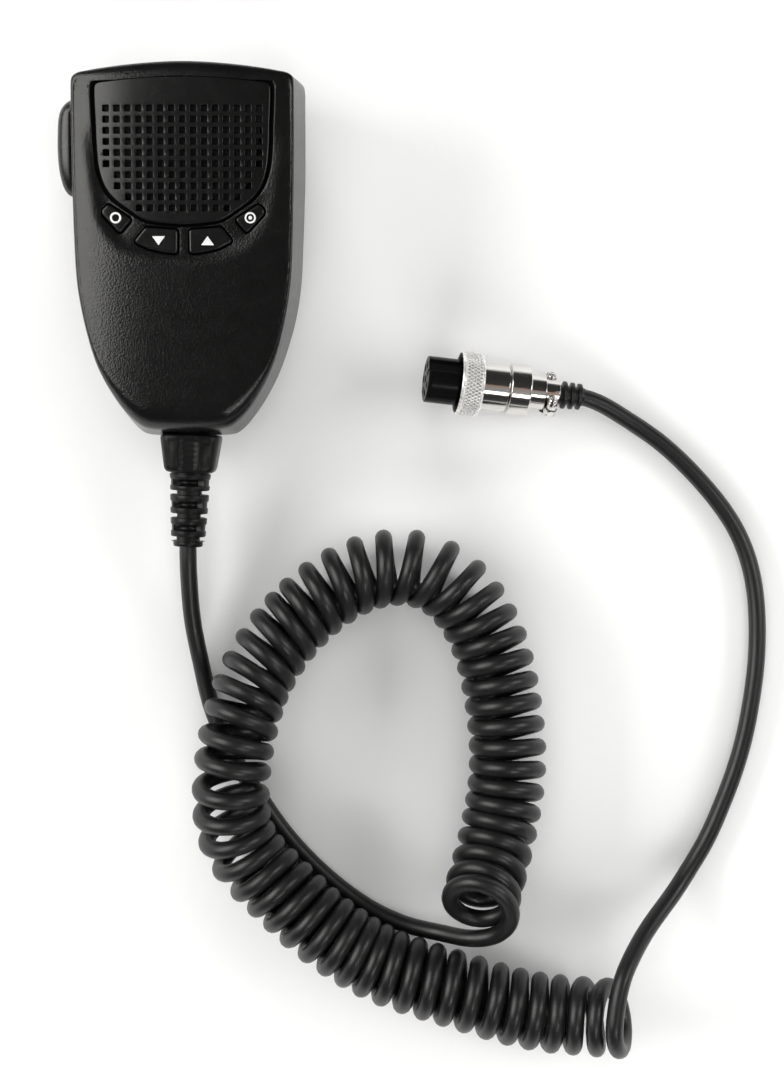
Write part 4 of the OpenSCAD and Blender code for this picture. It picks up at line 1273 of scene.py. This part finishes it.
# ribbed boot, following the cable out of the clamp
start = np.array([on_plug([[u, 0, 0]])[0] / MM for u in np.arange(-23.4, -36.21, -0.3)])
rest = LINE[::-1]
d0 = np.linalg.norm(rest - start[-1], axis=1)
follow = spline(np.concatenate([start[::6], rest[d0.argmin() + 3:d0.argmin() + 9]]), 0.12)
along = np.r_[0, np.cumsum(np.linalg.norm(np.diff(follow, axis=0), axis=1))] + 23.4
boot_r = np.full(len(along), 2.72)
boot_r = np.where(along < 29.7, 2.86, boot_r)
for c, r in ((30.8, 3.95), (33.0, 3.85), (35.2, 3.75)):
    boot_r = np.maximum(boot_r, 2.72 + (r - 2.72) * smoothstep((0.64 - np.abs(along - c)) / 0.26))
keep = along < 36.7
follow, boot_r, along = follow[keep], boot_r[keep], along[keep]
boot_r = np.where(along > 36.1, np.minimum(boot_r, 2.72 - 0.35 * (along - 36.1)), boot_r)
boot_o = piece("cable_boot", tube(Build(), follow, boot_r, 28), as_is, M_BOOT, "microphone", "plug_boot", weighted=False)

# ------------------------------------------------------------------ floor, light
floor_m = Nodes("floor_white")
floor_m.link(floor_m.ramp(floor_m.noise(9, 2.0), [(0.3, (0.86, 0.86, 0.855)), (0.7, (0.875, 0.875, 0.87))]), floor_m.p.inputs["Base Color"])
floor_m.p.inputs["Roughness"].default_value = 0.75
floor_m.p.inputs["Specular IOR Level"].default_value = 0.2
me = bpy.data.meshes.new("floor")
me.from_pydata([(-3, -3, 0), (3, -3, 0), (3, 3, 0), (-3, 3, 0)], [], [(0, 1, 2, 3)])
me.materials.append(floor_m.m)
floor = bpy.data.objects.new("floor", me)
bpy.context.scene.collection.objects.link(floor)
floor.location.z = -0.0001


def softbox(name, at, aim, size, power, color=(1, 1, 1), lights=True, shines=True):
    l = bpy.data.lights.new(name, "AREA")
    l.shape = "RECTANGLE"
    l.size, l.size_y = size
    l.energy = power
    l.color = color
    o = bpy.data.objects.new(name, l)
    bpy.context.scene.collection.objects.link(o)
    o.location = at
    o.rotation_euler = (Vector(aim) - Vector(at)).to_track_quat("-Z", "Y").to_euler()
    o.visible_diffuse = lights
    o.visible_glossy = shines
    return o


# one soft light above and four low ones light the table; the panels show as highlights only
HERE = (0.06, -0.08, 0)
softbox("top_light", (0.0, -0.08, 1.5), HERE, (1.6, 1.6), 8, (1.0, 0.995, 0.985), shines=False)
softbox("low_west_light", (-1.1, 0.0, 0.5), HERE, (1.0, 0.6), 16.5, (1.0, 0.995, 0.985), shines=False)
softbox("low_south_light", (0.06, -1.25, 0.5), HERE, (1.0, 0.6), 12, shines=False)
softbox("low_east_light", (1.22, -0.08, 0.5), HERE, (1.0, 0.6), 11.5, shines=False)
softbox("low_north_light", (0.06, 1.1, 0.5), HERE, (1.0, 0.6), 10, shines=False)
softbox("west_panel", (-0.74, 0.16, 0.80), (0.05, -0.08, 0), (0.86, 0.86), 9.5, (1.0, 0.99, 0.97), lights=False)
softbox("south_east_panel", (0.40, -0.68, 0.92), HERE, (0.32, 0.15), 1.7, (1.0, 0.99, 0.975), lights=False)
softbox("grey_panel", (0.40, -0.31, 0.90), (0.40, -0.31, 0), (0.20, 0.40), 0.07, lights=False)
softbox("brown_panel", (0.42, -0.06, 0.90), (0.42, -0.06, 0), (0.20, 0.07), 0.02, (1.0, 0.55, 0.36), lights=False)
softbox("east_panel", (0.80, 0.06, 0.72), HERE, (0.34, 0.5), 2.4, (1.0, 0.99, 0.975), lights=False)

world = bpy.data.worlds.new("studio")
bpy.context.scene.world = world
world.use_nodes = True
wt = world.node_tree
bg = wt.nodes["Background"]
tc = wt.nodes.new("ShaderNodeTexCoord")
sep = wt.nodes.new("ShaderNodeSeparateXYZ")
wt.links.new(tc.outputs["Generated"], sep.inputs["Vector"])
wr = wt.nodes.new("ShaderNodeValToRGB")
el = wr.color_ramp.elements
el[0].position, el[0].color = 0.0, (0.8, 0.8, 0.8, 1)
el[1].position, el[1].color = 0.13, (0.6, 0.6, 0.6, 1)
e = el.new(0.2)
e.color = (0.06, 0.06, 0.06, 1)
e = el.new(0.5)
e.color = (0.03, 0.03, 0.03, 1)
wt.links.new(sep.outputs["Z"], wr.inputs["Fac"])
wt.links.new(wr.outputs["Color"], bg.inputs["Color"])
bg.inputs["Strength"].default_value = 1.0

bpy.context.scene.view_settings.view_transform = "Standard"
bpy.context.scene.view_settings.look = "None"
bpy.context.scene.view_settings.exposure = 0.0
